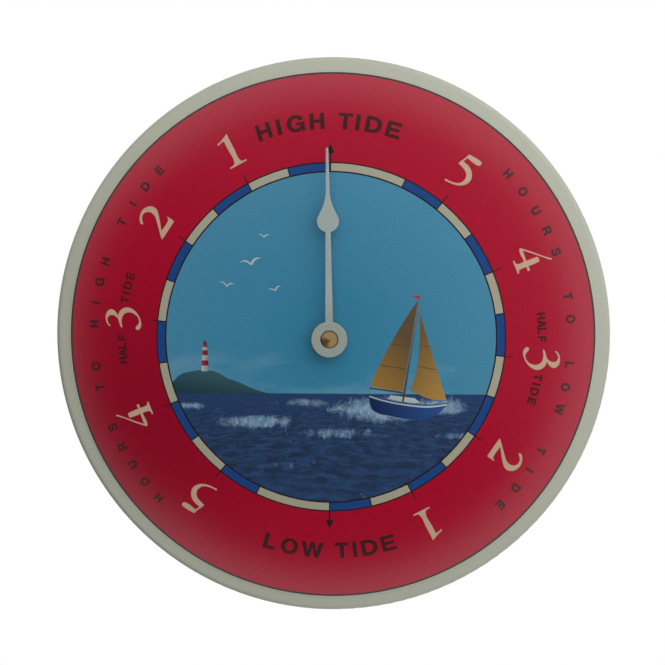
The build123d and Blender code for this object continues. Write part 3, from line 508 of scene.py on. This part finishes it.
def addWord(bm, text, angles, s, turned=False):
    scale = s["cap"] / capitalHeight
    for letter, angle in zip(text, angles):
        outlines = capitals[letter]
        middle = max(point[0] for point in outlines[0]) / 2
        place = Matrix.Rotation(-math.radians(angle), 4, "Z") @ Matrix.Translation((0, s["radius"], 0))
        if turned:
            place = place @ Matrix.Rotation(math.pi, 4, "Z")
        size = Matrix.Diagonal((scale * s["wide"], scale, 1, 1))
        centred = Matrix.Translation((-middle, -capitalHeight / 2, 0))
        addOutlines(bm, outlines, place @ (size @ centred), s["widen"])


def makeWords():
    bm = bmesh.new()
    addWord(bm, "HIGHTIDE", tideWords["high"], tideWords)
    addWord(bm, "LOWTIDE", tideWords["low"], tideWords, turned=True)
    for middle in halfWords["middles"]:
        addWord(bm, "HALFTIDE", [middle + step for step in halfWords["steps"]], halfWords)
    for text, (middle, pitch) in hourWords["arcs"].items():
        first = middle - pitch * (len(text) - 1) / 2
        angles = [first + pitch * k for k, letter in enumerate(text) if letter != " "]
        addWord(bm, text.replace(" ", ""), angles, hourWords)
    cutForCrown(bm)
    printInk(bm, "print_words", letterInk, pull["top"])


makeWords()
print("words printed")


# The seascape inside the band: sky, sea and foam in one print, with its places in mm from the shaft. Each
# pattern is noise: scale is one over its width, which is in mm where mm stands there, cut is where it
# starts and where it is full, and strength is how much it then covers
seascape = {
    "horizon": -25.0, "horizonEdge": 0.25, "tuck": 0.5,
    "skyLow": "347a99", "skyHigh": "43829f", "skyFrom": 20, "cloud": "6d97ab", "cloudTop": 34,
    "cloudStretch": (0.5, 1, 1.6), "cloudMost": 0.13, "cloudLeast": -0.12,
    "billow": {"scale": 1 / (21.74 * mm), "detail": 6, "cut": (0.56, 0.78), "strength": 0.55},
    "seaDark": "25334c", "seaBlue": "2e4a72", "seaFar": "243f69", "farReach": 16, "farStrength": 0.55,
    "vanish": 6, "waveStretch": (2.0833, 5, 1),
    "swell": {"scale": 2.2, "detail": 6, "rough": 0.62, "warp": 0.4, "cut": (0.40, 0.66), "strength": 1},
    "crests": {"scale": 3.1, "detail": 4, "rough": 0.75, "cut": (0.66, 0.78), "strength": 0.7},
    "foam": "9fb5c1", "foamShade": "5c7f9f", "spray": "7896ab", "foamHeap": 0.42, "foamCore": 0.15,
    "torn": {"scale": 1 / (5.263 * mm), "detail": 8, "rough": 0.7, "warp": 0.8, "cut": (0.62, 0.86),
             "strength": 0.9},
    "lather": {"scale": 1 / (2.381 * mm), "detail": 6, "rough": 0.75, "cut": (0.42, 0.68), "strength": 1},
    "mottle": {"scale": 1 / (0.7143 * mm), "detail": 2, "cut": (0.25, 0.75), "least": 0.93,
               "strength": 1.07},
    # round the boat, on two breakers and further out: middle across and up, half width and height, strength
    "patches": ((24, -32, 36, 8.5, 1.0), (50, -30.5, 20, 6.0, 1.0), (-34, -38, 26, 4.6, 1.0),
                (-62, -31, 12, 2.4, 0.7), (4, -43, 30, 3.6, 0.62), (-8, -29, 20, 3.2, 0.62),
                (56, -44, 16, 2.6, 0.5), (-20, -58, 18, 2.6, 0.36)),
}


def addPattern(tree, vector, s, extra=None):
    # noise between two levels; extra is added to it before it is cut
    noise = addNode(tree, "TexNoise", {
        "Vector": vector, "Scale": s["scale"], "Detail": s["detail"],
        "Roughness": s.get("rough", 0.5), "Distortion": s.get("warp", 0)})
    if extra is not None:
        noise = addNode(tree, "Math", {0: noise, 1: extra}, operation="ADD")
    low, high = s["cut"]
    return addNode(tree, "MapRange", {
        "Value": noise, "From Min": low, "From Max": high,
        "To Min": s.get("least", 0), "To Max": s["strength"]})


def addPatch(tree, parts, patch, s):
    # a soft oval of foam, full in the middle and nothing past its edge
    across, up, halfWidth, halfHeight, strength = patch
    middle = (face["x"] + across * mm, face["z"] + up * mm)
    sides = []
    for part, start, half in ((0, middle[0], halfWidth), (2, middle[1], halfHeight)):
        sides.append(addNode(tree, "MapRange", {
            "Value": parts.outputs[part], "From Min": start, "From Max": start + half * mm}, clamp=False))
    both = addNode(tree, "CombineXYZ", {0: sides[0], 1: sides[1]})
    far = addNode(tree, "VectorMath", {0: both}, operation="LENGTH")
    return addNode(tree, "MapRange", {
        "Value": far.outputs["Value"], "From Min": s["foamCore"],
        "To Min": strength * s["foamHeap"], "To Max": 0.0}, interpolation_type="SMOOTHSTEP")


def seascapeInk(s):
    # a photographic print: soft changes of colour with a fine mottle, no hard ink edges
    material, tree, shader = startInk("seascapePhotoPrint")
    place = addNode(tree, "TexCoord").outputs["Object"]
    parts = addNode(tree, "SeparateXYZ", {0: place})
    height = parts.outputs[2]
    horizon = face["z"] + s["horizon"] * mm

    # sky: paler outwards, with soft cloud low down
    centred = addNode(tree, "Mapping", {
        "Vector": place, "Location": (-face["x"], 0, -face["z"]), "Scale": (1, 0, 1)})
    out = addNode(tree, "VectorMath", {0: centred}, operation="LENGTH")
    paler = addNode(tree, "MapRange", {
        "Value": out.outputs["Value"], "From Min": s["skyFrom"] * mm, "From Max": band["inner"] * mm})
    sky = addNode(tree, "Mix", {0: paler, 6: toLinear(s["skyLow"]), 7: toLinear(s["skyHigh"])},
                  data_type="RGBA")
    stretched = addNode(tree, "Mapping", {"Vector": place, "Scale": s["cloudStretch"]})
    haze = addNode(tree, "MapRange", {
        "Value": height, "From Min": horizon, "From Max": horizon + s["cloudTop"] * mm,
        "To Min": s["cloudMost"], "To Max": s["cloudLeast"]})
    cloud = addPattern(tree, stretched, s["billow"], haze)
    skyTone = addNode(tree, "Mix", {0: cloud, 6: sky.outputs[2], 7: toLinear(s["cloud"])}, data_type="RGBA")

    # sea: waves shrink with the distance from the near edge, darker in the troughs
    depth = addNode(tree, "Math", {0: horizon + s["vanish"] * mm, 1: height}, operation="SUBTRACT")
    across = addNode(tree, "Math", {0: parts, 1: depth}, operation="DIVIDE")
    away = addNode(tree, "Math", {0: depth}, operation="LOGARITHM")
    water = addNode(tree, "CombineXYZ", {0: across, 1: away})
    waves = addNode(tree, "Mapping", {"Vector": water, "Scale": s["waveStretch"]})
    swell = addPattern(tree, waves, s["swell"])
    sea = addNode(tree, "Mix", {0: swell, 6: toLinear(s["seaDark"]), 7: toLinear(s["seaBlue"])},
                  data_type="RGBA")
    distance = addNode(tree, "MapRange", {
        "Value": height, "From Min": horizon - s["farReach"] * mm, "From Max": horizon,
        "To Max": s["farStrength"]})
    seaTone = addNode(tree, "Mix", {0: distance, 6: sea.outputs[2], 7: toLinear(s["seaFar"])},
                      data_type="RGBA")
    soft = s["horizonEdge"] * mm
    edge = addNode(tree, "MapRange", {
        "Value": height, "From Min": horizon - soft, "From Max": horizon + soft})
    scene = addNode(tree, "Mix", {0: edge, 6: seaTone.outputs[2], 7: skyTone.outputs[2]}, data_type="RGBA")

    # foam: torn noise inside soft patches, and small white crests on the swell
    cover = None
    for patch in s["patches"]:
        spot = addPatch(tree, parts, patch, s)
        cover = spot if cover is None else addNode(tree, "Math", {0: cover, 1: spot}, operation="MAXIMUM")
    foam = addPattern(tree, place, s["torn"], cover)
    lather = addPattern(tree, place, s["lather"])
    froth = addNode(tree, "Mix", {0: lather, 6: toLinear(s["foamShade"]), 7: toLinear(s["foam"])},
                    data_type="RGBA")
    foamed = addNode(tree, "Mix", {0: foam, 6: scene.outputs[2], 7: froth.outputs[2]}, data_type="RGBA")
    crests = addPattern(tree, waves, s["crests"])
    onSea = addNode(tree, "Math", {0: 1.0, 1: edge}, operation="SUBTRACT")
    capped = addNode(tree, "Math", {0: crests, 1: onSea}, operation="MULTIPLY")
    whole = addNode(tree, "Mix", {0: capped, 6: foamed.outputs[2], 7: toLinear(s["spray"])},
                    data_type="RGBA")
    mottle = addPattern(tree, place, s["mottle"])
    printed = addNode(tree, "VectorMath", {0: whole.outputs[2], "Scale": mottle}, operation="SCALE")
    plug(tree, shader, {"Base Color": printed})
    return material


def makeSeascape(s):
    # a ring that is tucked a little under the washer of the shaft
    washerLow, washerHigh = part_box("front_washer")
    hole = (washerHigh.x - washerLow.x) / 2 / mm - s["tuck"]
    bm = bmesh.new()
    addSector(bm, hole, band["inner"], cuts=40)
    printInk(bm, "print_seascape", seascapeInk(s), pull["ground"])


makeSeascape(seascape)
print("seascape printed")


# The boat, the headland and the gulls, each shape an ink of its own with a soft change of tone

def shadedInk(name, start, end, startHex, endHex, grain=1.2, depth=0.12):
    # the colour changes from one place in the picture to another, and is mottled by the depth
    material, tree, shader = startInk(name)
    place = addNode(tree, "TexCoord").outputs["Object"]
    first = Vector((face["x"] + start[0] * mm, 0, face["z"] + start[1] * mm))
    step = Vector(((end[0] - start[0]) * mm, 0, (end[1] - start[1]) * mm))
    share = addNode(tree, "VectorMath", {0: place, 1: step / step.length_squared}, operation="DOT_PRODUCT")
    offset = first.dot(step) / step.length_squared
    noise = addNode(tree, "TexNoise", {"Vector": place, "Scale": 1 / (grain * mm), "Detail": 4.0})
    rough = addNode(tree, "MapRange", {"Value": noise, "To Min": -depth - offset, "To Max": depth - offset})
    along = addNode(tree, "Math", {0: share.outputs["Value"], 1: rough}, operation="ADD", use_clamp=True)
    mix = addNode(tree, "Mix", {0: along, 6: toLinear(startHex), 7: toLinear(endHex)}, data_type="RGBA")
    plug(tree, shader, {"Base Color": mix.outputs[2]})
    return material


# tones are two places in mm from the shaft and the colour at each. The boat's outlines start from the foot
# of its mast, before it heels, and the coast's from the shaft
boat = {"across": 33.0, "up": -29.0, "heel": 9.0}
boatShapes = [
    {"name": "print_boat_hull", "ink": "blueHullInk", "lift": 0.04,
     "tones": ((20, -36), (52, -26), "16264a", "2c4f8c"),
     "outlines": [[(-15.5, 1.4, 1), (-8, 0.4), (2, 0.2), (12, 1.2), (20.5, 3.4, 1), (18.0, -0.6),
                   (14.0, -4.2), (8, -6.2), (-4, -6.8), (-12.5, -5.6), (-14.6, -3.0, 1)]]},
    {"name": "print_boat_stripe", "ink": "paleDeckInk", "lift": 0.05,
     "tones": ((20, -36), (52, -26), "8d999c", "b9c1bd"),
     "outlines": [[(-15.4, 0.9, 1), (-8, -0.1), (2, -0.3), (12, 0.6), (20.1, 2.8, 1), (19.6, 2.0, 1),
                   (12, -0.2), (2, -1.0), (-8, -0.8), (-15.2, 0.1, 1)],
                  [(-7.0, 0.8, 1), (-6.0, 2.6, 1), (5.0, 3.0, 1), (8.0, 1.2, 1), (2, 0.6)]]},
    {"name": "print_boat_spars", "ink": "brownSparInk", "lift": 0.05,
     "tones": ((30, -20), (34, 20), "4a4034", "7c6b4e"),
     "outlines": [[(-0.45, 0.6, 1), (0.45, 0.6, 1), (0.25, 49.0, 1), (-0.25, 49.0, 1)],
                  [(-0.6, 4.2, 1), (-0.6, 5.0, 1), (-16.0, 4.5, 1), (-16.0, 3.9, 1)]]},
    {"name": "print_main_sail", "ink": "ochreSailInk", "lift": 0.04,
     "tones": ((14, -24), (36, -2), "9a7434", "5b4a34"),
     "outlines": [[(-0.7, 47.0, 1), (-4.8, 38.2), (-9.4, 26.6), (-13.2, 15.0), (-15.6, 5.4, 1), (-8.0, 4.9),
                   (-0.7, 5.4, 1)]]},
    {"name": "print_jib", "ink": "sunlitSailInk", "lift": 0.06,
     "tones": ((33, -10), (54, -26), "6a5535", "a8813f"),
     "outlines": [[(1.0, 41.5, 1), (6.6, 30.0), (12.8, 17.4), (19.4, 4.4, 1), (11.6, 3.8), (2.4, 6.2, 1),
                   (3.8, 16.0), (3.0, 28.0)]]},
    {"name": "print_sail_seams", "ink": "seamInk", "lift": 0.08,
     "tones": ((14, -24), (50, 10), "463a2b", "584a33"),
     "outlines": [[(-0.7, 36.6, 1), (-5.2, 36.4, 1), (-5.2, 36.1, 1), (-0.7, 36.3, 1)],
                  [(-0.7, 26.0, 1), (-9.4, 25.8, 1), (-9.5, 25.5, 1), (-0.7, 25.7, 1)],
                  [(-0.7, 15.6, 1), (-12.8, 15.4, 1), (-12.9, 15.1, 1), (-0.7, 15.3, 1)],
                  [(3.2, 27.4, 1), (7.6, 27.2, 1), (7.8, 26.9, 1), (3.2, 27.1, 1)],
                  [(3.8, 17.6, 1), (12.4, 17.4, 1), (12.6, 17.1, 1), (3.8, 17.3, 1)]]},
    {"name": "print_boat_pennant", "ink": "redPennantInk", "lift": 0.05,
     "tones": ((24, 18), (32, 20), "8c1f3a", "a32a48"),
     "outlines": [[(-0.2, 49.0, 1), (-0.2, 47.2, 1), (-2.6, 47.9), (-4.6, 47.6, 1), (-2.6, 48.6)]]},
]
coastShapes = [
    {"name": "print_headland", "ink": "distantLandInk", "lift": 0.04,
     "tones": ((-62, -26), (-60, -10), "1e3a47", "3d5f66"),
     "outlines": [[(-72.2, -20.6, 1), (-68.5, -17.0), (-63.5, -15.4), (-57.5, -14.6), (-51.5, -15.6),
                   (-46.5, -18.4), (-41.0, -20.2), (-35.5, -22.8), (-30.0, -24.6), (-26.0, -25.3, 1),
                   (-70.7, -25.3, 1)]]},
    {"name": "print_lighthouse", "ink": "whiteTowerInk", "lift": 0.06,
     "tones": ((-58.5, -8), (-55.3, -8), "a9b3ae", "6f8088"),
     "outlines": [[(-58.6, -15.2, 1), (-58.0, -4.0, 1), (-55.8, -4.0, 1), (-55.2, -15.2, 1)]]},
    {"name": "print_lighthouse_trim", "ink": "redTowerInk", "lift": 0.08,
     "tones": ((-58.5, -8), (-55.3, -8), "92263f", "5f1c30"),
     "outlines": [[(-58.5, -12.6, 1), (-58.35, -10.2, 1), (-55.45, -10.2, 1), (-55.3, -12.6, 1)],
                  [(-58.2, -7.8, 1), (-58.1, -5.6, 1), (-55.7, -5.6, 1), (-55.6, -7.8, 1)],
                  [(-58.4, -4.1, 1), (-58.4, -3.6, 1), (-55.4, -3.6, 1), (-55.4, -4.1, 1)],
                  [(-57.7, -3.5, 1), (-57.7, -1.9, 1), (-56.9, -1.0, 1), (-56.1, -1.9, 1),
                   (-56.1, -3.5, 1)]]},
]
# each gull stands across and up from the shaft, with its size and its tilt in degrees
gulls = {"places": ((-36, 34, 0.95, 8), (-47, 24, 0.7, -12), (-25, 22, 0.6, 15), (-30, 46, 0.5, -5)),
         "tones": ((-50, 20), (-30, 45), "8fa6b1", "aab9bd"),
         "outlines": [[(0, 0, 1), (1.4, 1.5), (3.4, 2.2), (5.4, 1.6, 1), (3.6, 1.5), (1.8, 0.5),
                       (0.9, -0.7), (0.2, -1.0), (-0.5, -0.5), (-1.9, 0.7), (-3.6, 1.2), (-5.2, 0.8, 1),
                       (-3.4, 1.8), (-1.5, 1.4)]]}


def printShapes(shapes, matrix=Matrix()):
    for s in shapes:
        bm = bmesh.new()
        for outline in s["outlines"]:
            addOutlines(bm, [outline], matrix)
        cutForCrown(bm)
        printInk(bm, s["name"], shadedInk(s["ink"], *s["tones"]), s["lift"])


def makeGulls(s):
    bm = bmesh.new()
    for across, up, size, tilt in s["places"]:
        turn = Matrix.Rotation(math.radians(tilt), 4, "Z")
        addOutlines(bm, s["outlines"], Matrix.Translation((across, up, 0)) @ turn @ Matrix.Scale(size, 4))
    cutForCrown(bm)
    printInk(bm, "print_gulls", shadedInk("gullInk", *s["tones"]), pull["colour"])


printShapes(coastShapes)
printShapes(boatShapes, Matrix.Translation((boat["across"], boat["up"], 0))
            @ Matrix.Rotation(-math.radians(boat["heel"]), 4, "Z"))
makeGulls(gulls)
print("boat, headland and gulls printed")


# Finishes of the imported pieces

def finish(material, *nodes):
    for node in nodes:
        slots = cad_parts[node].data.materials
        slots.clear()
        slots.append(material)


def ivoryDish():
    # high impact polystyrene, moulded and satin: even, with the fine tooth of the mould
    material, tree, shader = startMaterial("mouldedIvoryPolystyrene", {"Roughness": 0.16, "IOR": 1.59})
    addGrain(tree, shader, "a5a797", "acae9e", grain=0.55, bump=0.003)
    return material


# the hand's coat, and how far from the hub's middle its painted shade fades out and is full, in mm
enamel = {"low": "8a9691", "high": "9aa5a3", "peel": 0.5, "peelDepth": 0.006,
          "hubShade": "f4eee7", "hubShadeTo": 20, "hubShadeFull": 8}


def handEnamel(s):
    # stove enamelled aluminium: pale cool grey, a slight orange peel, and painted shade that darkens and
    # warms the coat round the hub
    material, tree, shader = startMaterial("stoveEnamelledAluminium", {"Roughness": 0.42, "IOR": 1.5})
    mottled = addGrain(tree, shader, s["low"], s["high"], s["peel"], s["peelDepth"], detail=2.0)
    # painted shade round the hub: the coat is multiplied darker and warmer towards its middle
    place = addNode(tree, "TexCoord")
    apart = addNode(tree, "VectorMath", {0: place.outputs["Object"], 1: hub}, operation="DISTANCE")
    hubShade = addNode(tree, "MapRange", {
        "Value": apart.outputs["Value"], "From Min": s["hubShadeTo"] * mm, "From Max": s["hubShadeFull"] * mm},
        interpolation_type="SMOOTHSTEP")
    coat = addNode(tree, "Mix", {0: hubShade, 6: mottled.outputs[2], 7: toLinear(s["hubShade"])},
                   data_type="RGBA", blend_type="MULTIPLY")
    plug(tree, shader, {"Base Color": coat.outputs[2]})
    return material


# tool marks and tarnish of all the turned brass: depth and width in mm, then shares of the noise
turning = {"depth": 0.006, "tarnish": 1.111, "ringShare": 0.4, "clean": 0.45, "stained": 0.95,
           "sheen": 0.06}


def turnedBrass(name, low, high, rough, pitch, cone=0.0):
    # free cutting brass from a lathe: warm yellow, ringed by the tool, dulled by handling. The rings run
    # round the hub as fine as the pitch in mm, on a face that falls away by the cone's slope
    s = turning
    material, tree, shader = startMaterial(name, {"Metallic": 1.0})
    place = addNode(tree, "TexCoord")
    centred = addNode(tree, "VectorMath", {0: place.outputs["Object"], 1: hub}, operation="SUBTRACT")
    across = addNode(tree, "VectorMath", {0: centred, 1: (1, 0, 1)}, operation="MULTIPLY")
    radius = addNode(tree, "VectorMath", {0: across}, operation="LENGTH").outputs["Value"]
    rings = addNode(tree, "TexNoise", {"W": radius, "Scale": 1 / (pitch * mm), "Detail": 2.0},
                    noise_dimensions="1D")
    fall = addNode(tree, "Math", {0: radius, 1: -cone}, operation="MULTIPLY")
    height = addNode(tree, "Math", {0: rings, 1: s["depth"] * mm, 2: fall}, operation="MULTIPLY_ADD")
    relief = addNode(tree, "Bump", {"Height": height, "Distance": 1.0})
    tarnish = addNode(tree, "TexNoise", {"Scale": 1 / (s["tarnish"] * mm), "Detail": 4.0})
    stain = addNode(tree, "Math", {0: rings, 1: s["ringShare"], 2: tarnish}, operation="MULTIPLY_ADD")
    share = addNode(tree, "MapRange", {"Value": stain, "From Min": s["clean"], "From Max": s["stained"]})
    mix = addNode(tree, "Mix", {0: share, 6: toLinear(low), 7: toLinear(high)}, data_type="RGBA")
    sheen = addNode(tree, "MapRange", {
        "Value": tarnish, "To Min": rough - s["sheen"], "To Max": rough + s["sheen"]})
    plug(tree, shader, {"Base Color": mix.outputs[2], "Roughness": sheen, "Normal": relief})
    return material


def mouldedPlastic(name, low, high, rough):
    # plastic, resin or rubber from an eroded mould: matt, its fine pebble drawn a little coarse to show
    material, tree, shader = startMaterial(name, {"IOR": 1.53})
    addGrain(tree, shader, low, high, grain=0.45, bump=0.03, detail=2.0, rough=(rough - 0.06, rough + 0.08))
    return material


def acetal(name, low, high):
    # machined or moulded acetal: waxy, nearly even, softly shining
    material, tree, shader = startMaterial(name, {
        "Roughness": 0.38, "IOR": 1.48, "Subsurface Weight": 0.06, "Subsurface Radius": (mm, mm, mm)})
    addGrain(tree, shader, low, high, grain=1.5, bump=0.002)
    return material


def brushedStrip(name, low, high, rough, stretch=(1, 1, 1)):
    # rolled or ground metal and ferrite: fine grain lines along a stretch, or an even grain without one
    material, tree, shader = startMaterial(name, {"Metallic": 1.0})
    addGrain(tree, shader, low, high, grain=0.3, bump=0.004, detail=2.0, rough=(rough - 0.06, rough + 0.06),
             stretch=stretch)
    return material


# lengths from the button end, in mm
sleeve = {"paint": "1b1d20", "band": "a9abad", "bare": "8f9294", "bandFrom": 9.0, "bandTo": 10.4,
          "bareEnd": 1.6, "seam": 0.25, "scuffs": 1.4286, "glossy": 0.18, "scuffed": 0.42}


def batterySleeve(s):
    # a printed film shrunk on a steel can: glossy dark sleeve, a pale ring, bare steel at both ends
    low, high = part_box("battery")
    length = (high.x - low.x) / mm
    material, tree, shader = startMaterial("shrunkCellSleeve", {"IOR": 1.5})
    place = addNode(tree, "TexCoord")
    parts = addNode(tree, "SeparateXYZ", {0: place.outputs["Object"]})
    along = addNode(tree, "MapRange", {"Value": parts, "From Min": high.x, "From Max": high.x - mm},
                    clamp=False)
    share = addNode(tree, "Math", {0: along, 1: length}, operation="DIVIDE")
    ring = addNode(tree, "ValToRGB", {"Fac": share})
    ring.color_ramp.interpolation = "CONSTANT"
    stops = ((0, s["bare"]), (s["bareEnd"], s["paint"]), (s["bandFrom"], s["band"]),
             (s["bandTo"], s["paint"]), (length - s["seam"], s["bare"]))
    for k, (start, colour) in enumerate(stops):
        stop = ring.color_ramp.elements[k] if k < 2 else ring.color_ramp.elements.new(start / length)
        stop.position = start / length
        stop.color = toLinear(colour)
    steel = addNode(tree, "Math", {0: along, 1: s["bareEnd"]}, operation="LESS_THAN")
    scuffs = addNode(tree, "TexNoise", {"Scale": 1 / (s["scuffs"] * mm), "Detail": 5.0})
    shine = addNode(tree, "MapRange", {"Value": scuffs, "To Min": s["glossy"], "To Max": s["scuffed"]})
    plug(tree, shader, {"Base Color": ring, "Metallic": steel, "Roughness": shine})
    return material


# the wire's pitch and the height of its turns in mm, and the dark and bright of its lacquer
winding = {"wire": 0.34907, "relief": 0.05, "low": "6e2c12", "high": "b4602c"}


def woundCopper(s):
    # enamelled copper wire in close turns along the height of the bobbin
    material, tree, shader = startMaterial("woundEnamelledCopper", {"Metallic": 1.0, "Roughness": 0.34})
    place = addNode(tree, "TexCoord")
    # Blender's wave repeats every pi / 10 of its scaled coordinate
    turns = addNode(tree, "TexWave", {
        "Vector": place.outputs["Object"], "Scale": math.pi / 10 / (s["wire"] * mm),
        "Distortion": 0.6, "Detail": 1.0}, bands_direction="Z")
    mix = addNode(tree, "Mix", {0: turns.outputs["Fac"], 6: toLinear(s["low"]), 7: toLinear(s["high"])},
                  data_type="RGBA")
    relief = addNode(tree, "Bump", {"Height": turns.outputs["Fac"], "Distance": s["relief"] * mm})
    plug(tree, shader, {"Base Color": mix.outputs[2], "Normal": relief})
    return material


# the tracks' width, length and spacing, in mm
tracks = {"resist": ("1d4a2a", "1a4427"), "copper": "3b7a44", "gap": 0.25, "long": 5.2, "apart": 1.7}


def boardLaminate(s):
    # glass epoxy board: green resist over square copper tracks
    material, tree, shader = startMaterial("greenGlassEpoxy", {"Roughness": 0.35, "IOR": 1.55})
    place = addNode(tree, "TexCoord")
    turned = addNode(tree, "Mapping", {"Vector": place.outputs["Object"], "Rotation": (math.pi / 2, 0, 0)})
    first, second = [toLinear(colour) for colour in s["resist"]]
    pattern = addNode(tree, "TexBrick", {
        "Vector": turned, "Scale": 1.0, "Color1": first, "Color2": second, "Mortar": toLinear(s["copper"]),
        "Mortar Size": s["gap"] * mm, "Brick Width": s["long"] * mm, "Row Height": s["apart"] * mm})
    plug(tree, shader, {"Base Color": pattern})
    return material


hub = sum(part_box("hand_bushing"), Vector()) / 2
rolledY, rolledZ = (1, 0.12, 1), (1, 1, 0.12)  # the grain of a sheet is stretched along y or z
# colours are the two ends of each mottle, and the number after them is the roughness
whiteAcetal = acetal("whiteMachinedAcetal", "c9c9c2", "d2d2cc")
brownAcetal = acetal("brownMachinedAcetal", "5a4634", "654f3b")
finish(ivoryDish(), "dial_dish", "dial_film")
finish(handEnamel(enamel), "tide_hand")
finish(turnedBrass("turnedCapBrass", "89734b", "9c845e", 0.22, pitch=0.35, cone=0.17), "hand_bushing")
finish(turnedBrass("turnedBushingBrass", "b8935a", "d2ae70", 0.30, pitch=0.5),
       "threaded_bushing", "hex_nut", "front_washer", "clutch_collar")
finish(mouldedPlastic("sparkedBlackAbs", "17181a", "1f2022", 0.52), "case_front")
finish(mouldedPlastic("sparkedCoverAbs", "191a1c", "232426", 0.46), "case_rear_cover")
finish(acetal("mouldedKnobAcetal", "bfbeb6", "cac9c1"), "setting_knob")
finish(batterySleeve(sleeve), "battery")
finish(brushedStrip("nickelPlatedStrip", "96958f", "b3b2ab", 0.30, rolledZ),
       "positive_contact", "negative_contact")
finish(whiteAcetal, "tide_wheel", "motion_wheel", "centre_wheel", "fourth_wheel", "rotor_pinion")
finish(brownAcetal, "cannon_pinion", "third_wheel", "fifth_wheel")
finish(brushedStrip("springSteelSheet", "7e8084", "9a9ca0", 0.32, rolledY), "clutch_spring")
finish(brushedStrip("annealedIronSheet", "6f7276", "8b8e92", 0.40, rolledZ), "stator_plate", "coil_core")
finish(brushedStrip("zincPlatedSteel", "8d9096", "a9adb3", 0.30), "plate_screws")
finish(brushedStrip("platedCrystalCan", "a3a5a7", "babcbe", 0.24, rolledZ), "quartz_crystal")
finish(brushedStrip("sinteredFerrite", "2c2d30", "3a3b3e", 0.45), "rotor_magnet")
finish(mouldedPlastic("mouldedBlueNylon", "1d3f77", "254a85", 0.42), "coil_bobbin")
finish(mouldedPlastic("mouldedGreyPlate", "4c4e50", "575a5c", 0.48), "train_plate")
finish(mouldedPlastic("blobResin", "0c0c0d", "141415", 0.22), "circuit_chip")
finish(mouldedPlastic("blackWasherRubber", "151515", "1d1d1d", 0.70), "rubber_washer")
finish(woundCopper(winding), "coil_winding")
finish(boardLaminate(tracks), "circuit_board")
print("finishes set")
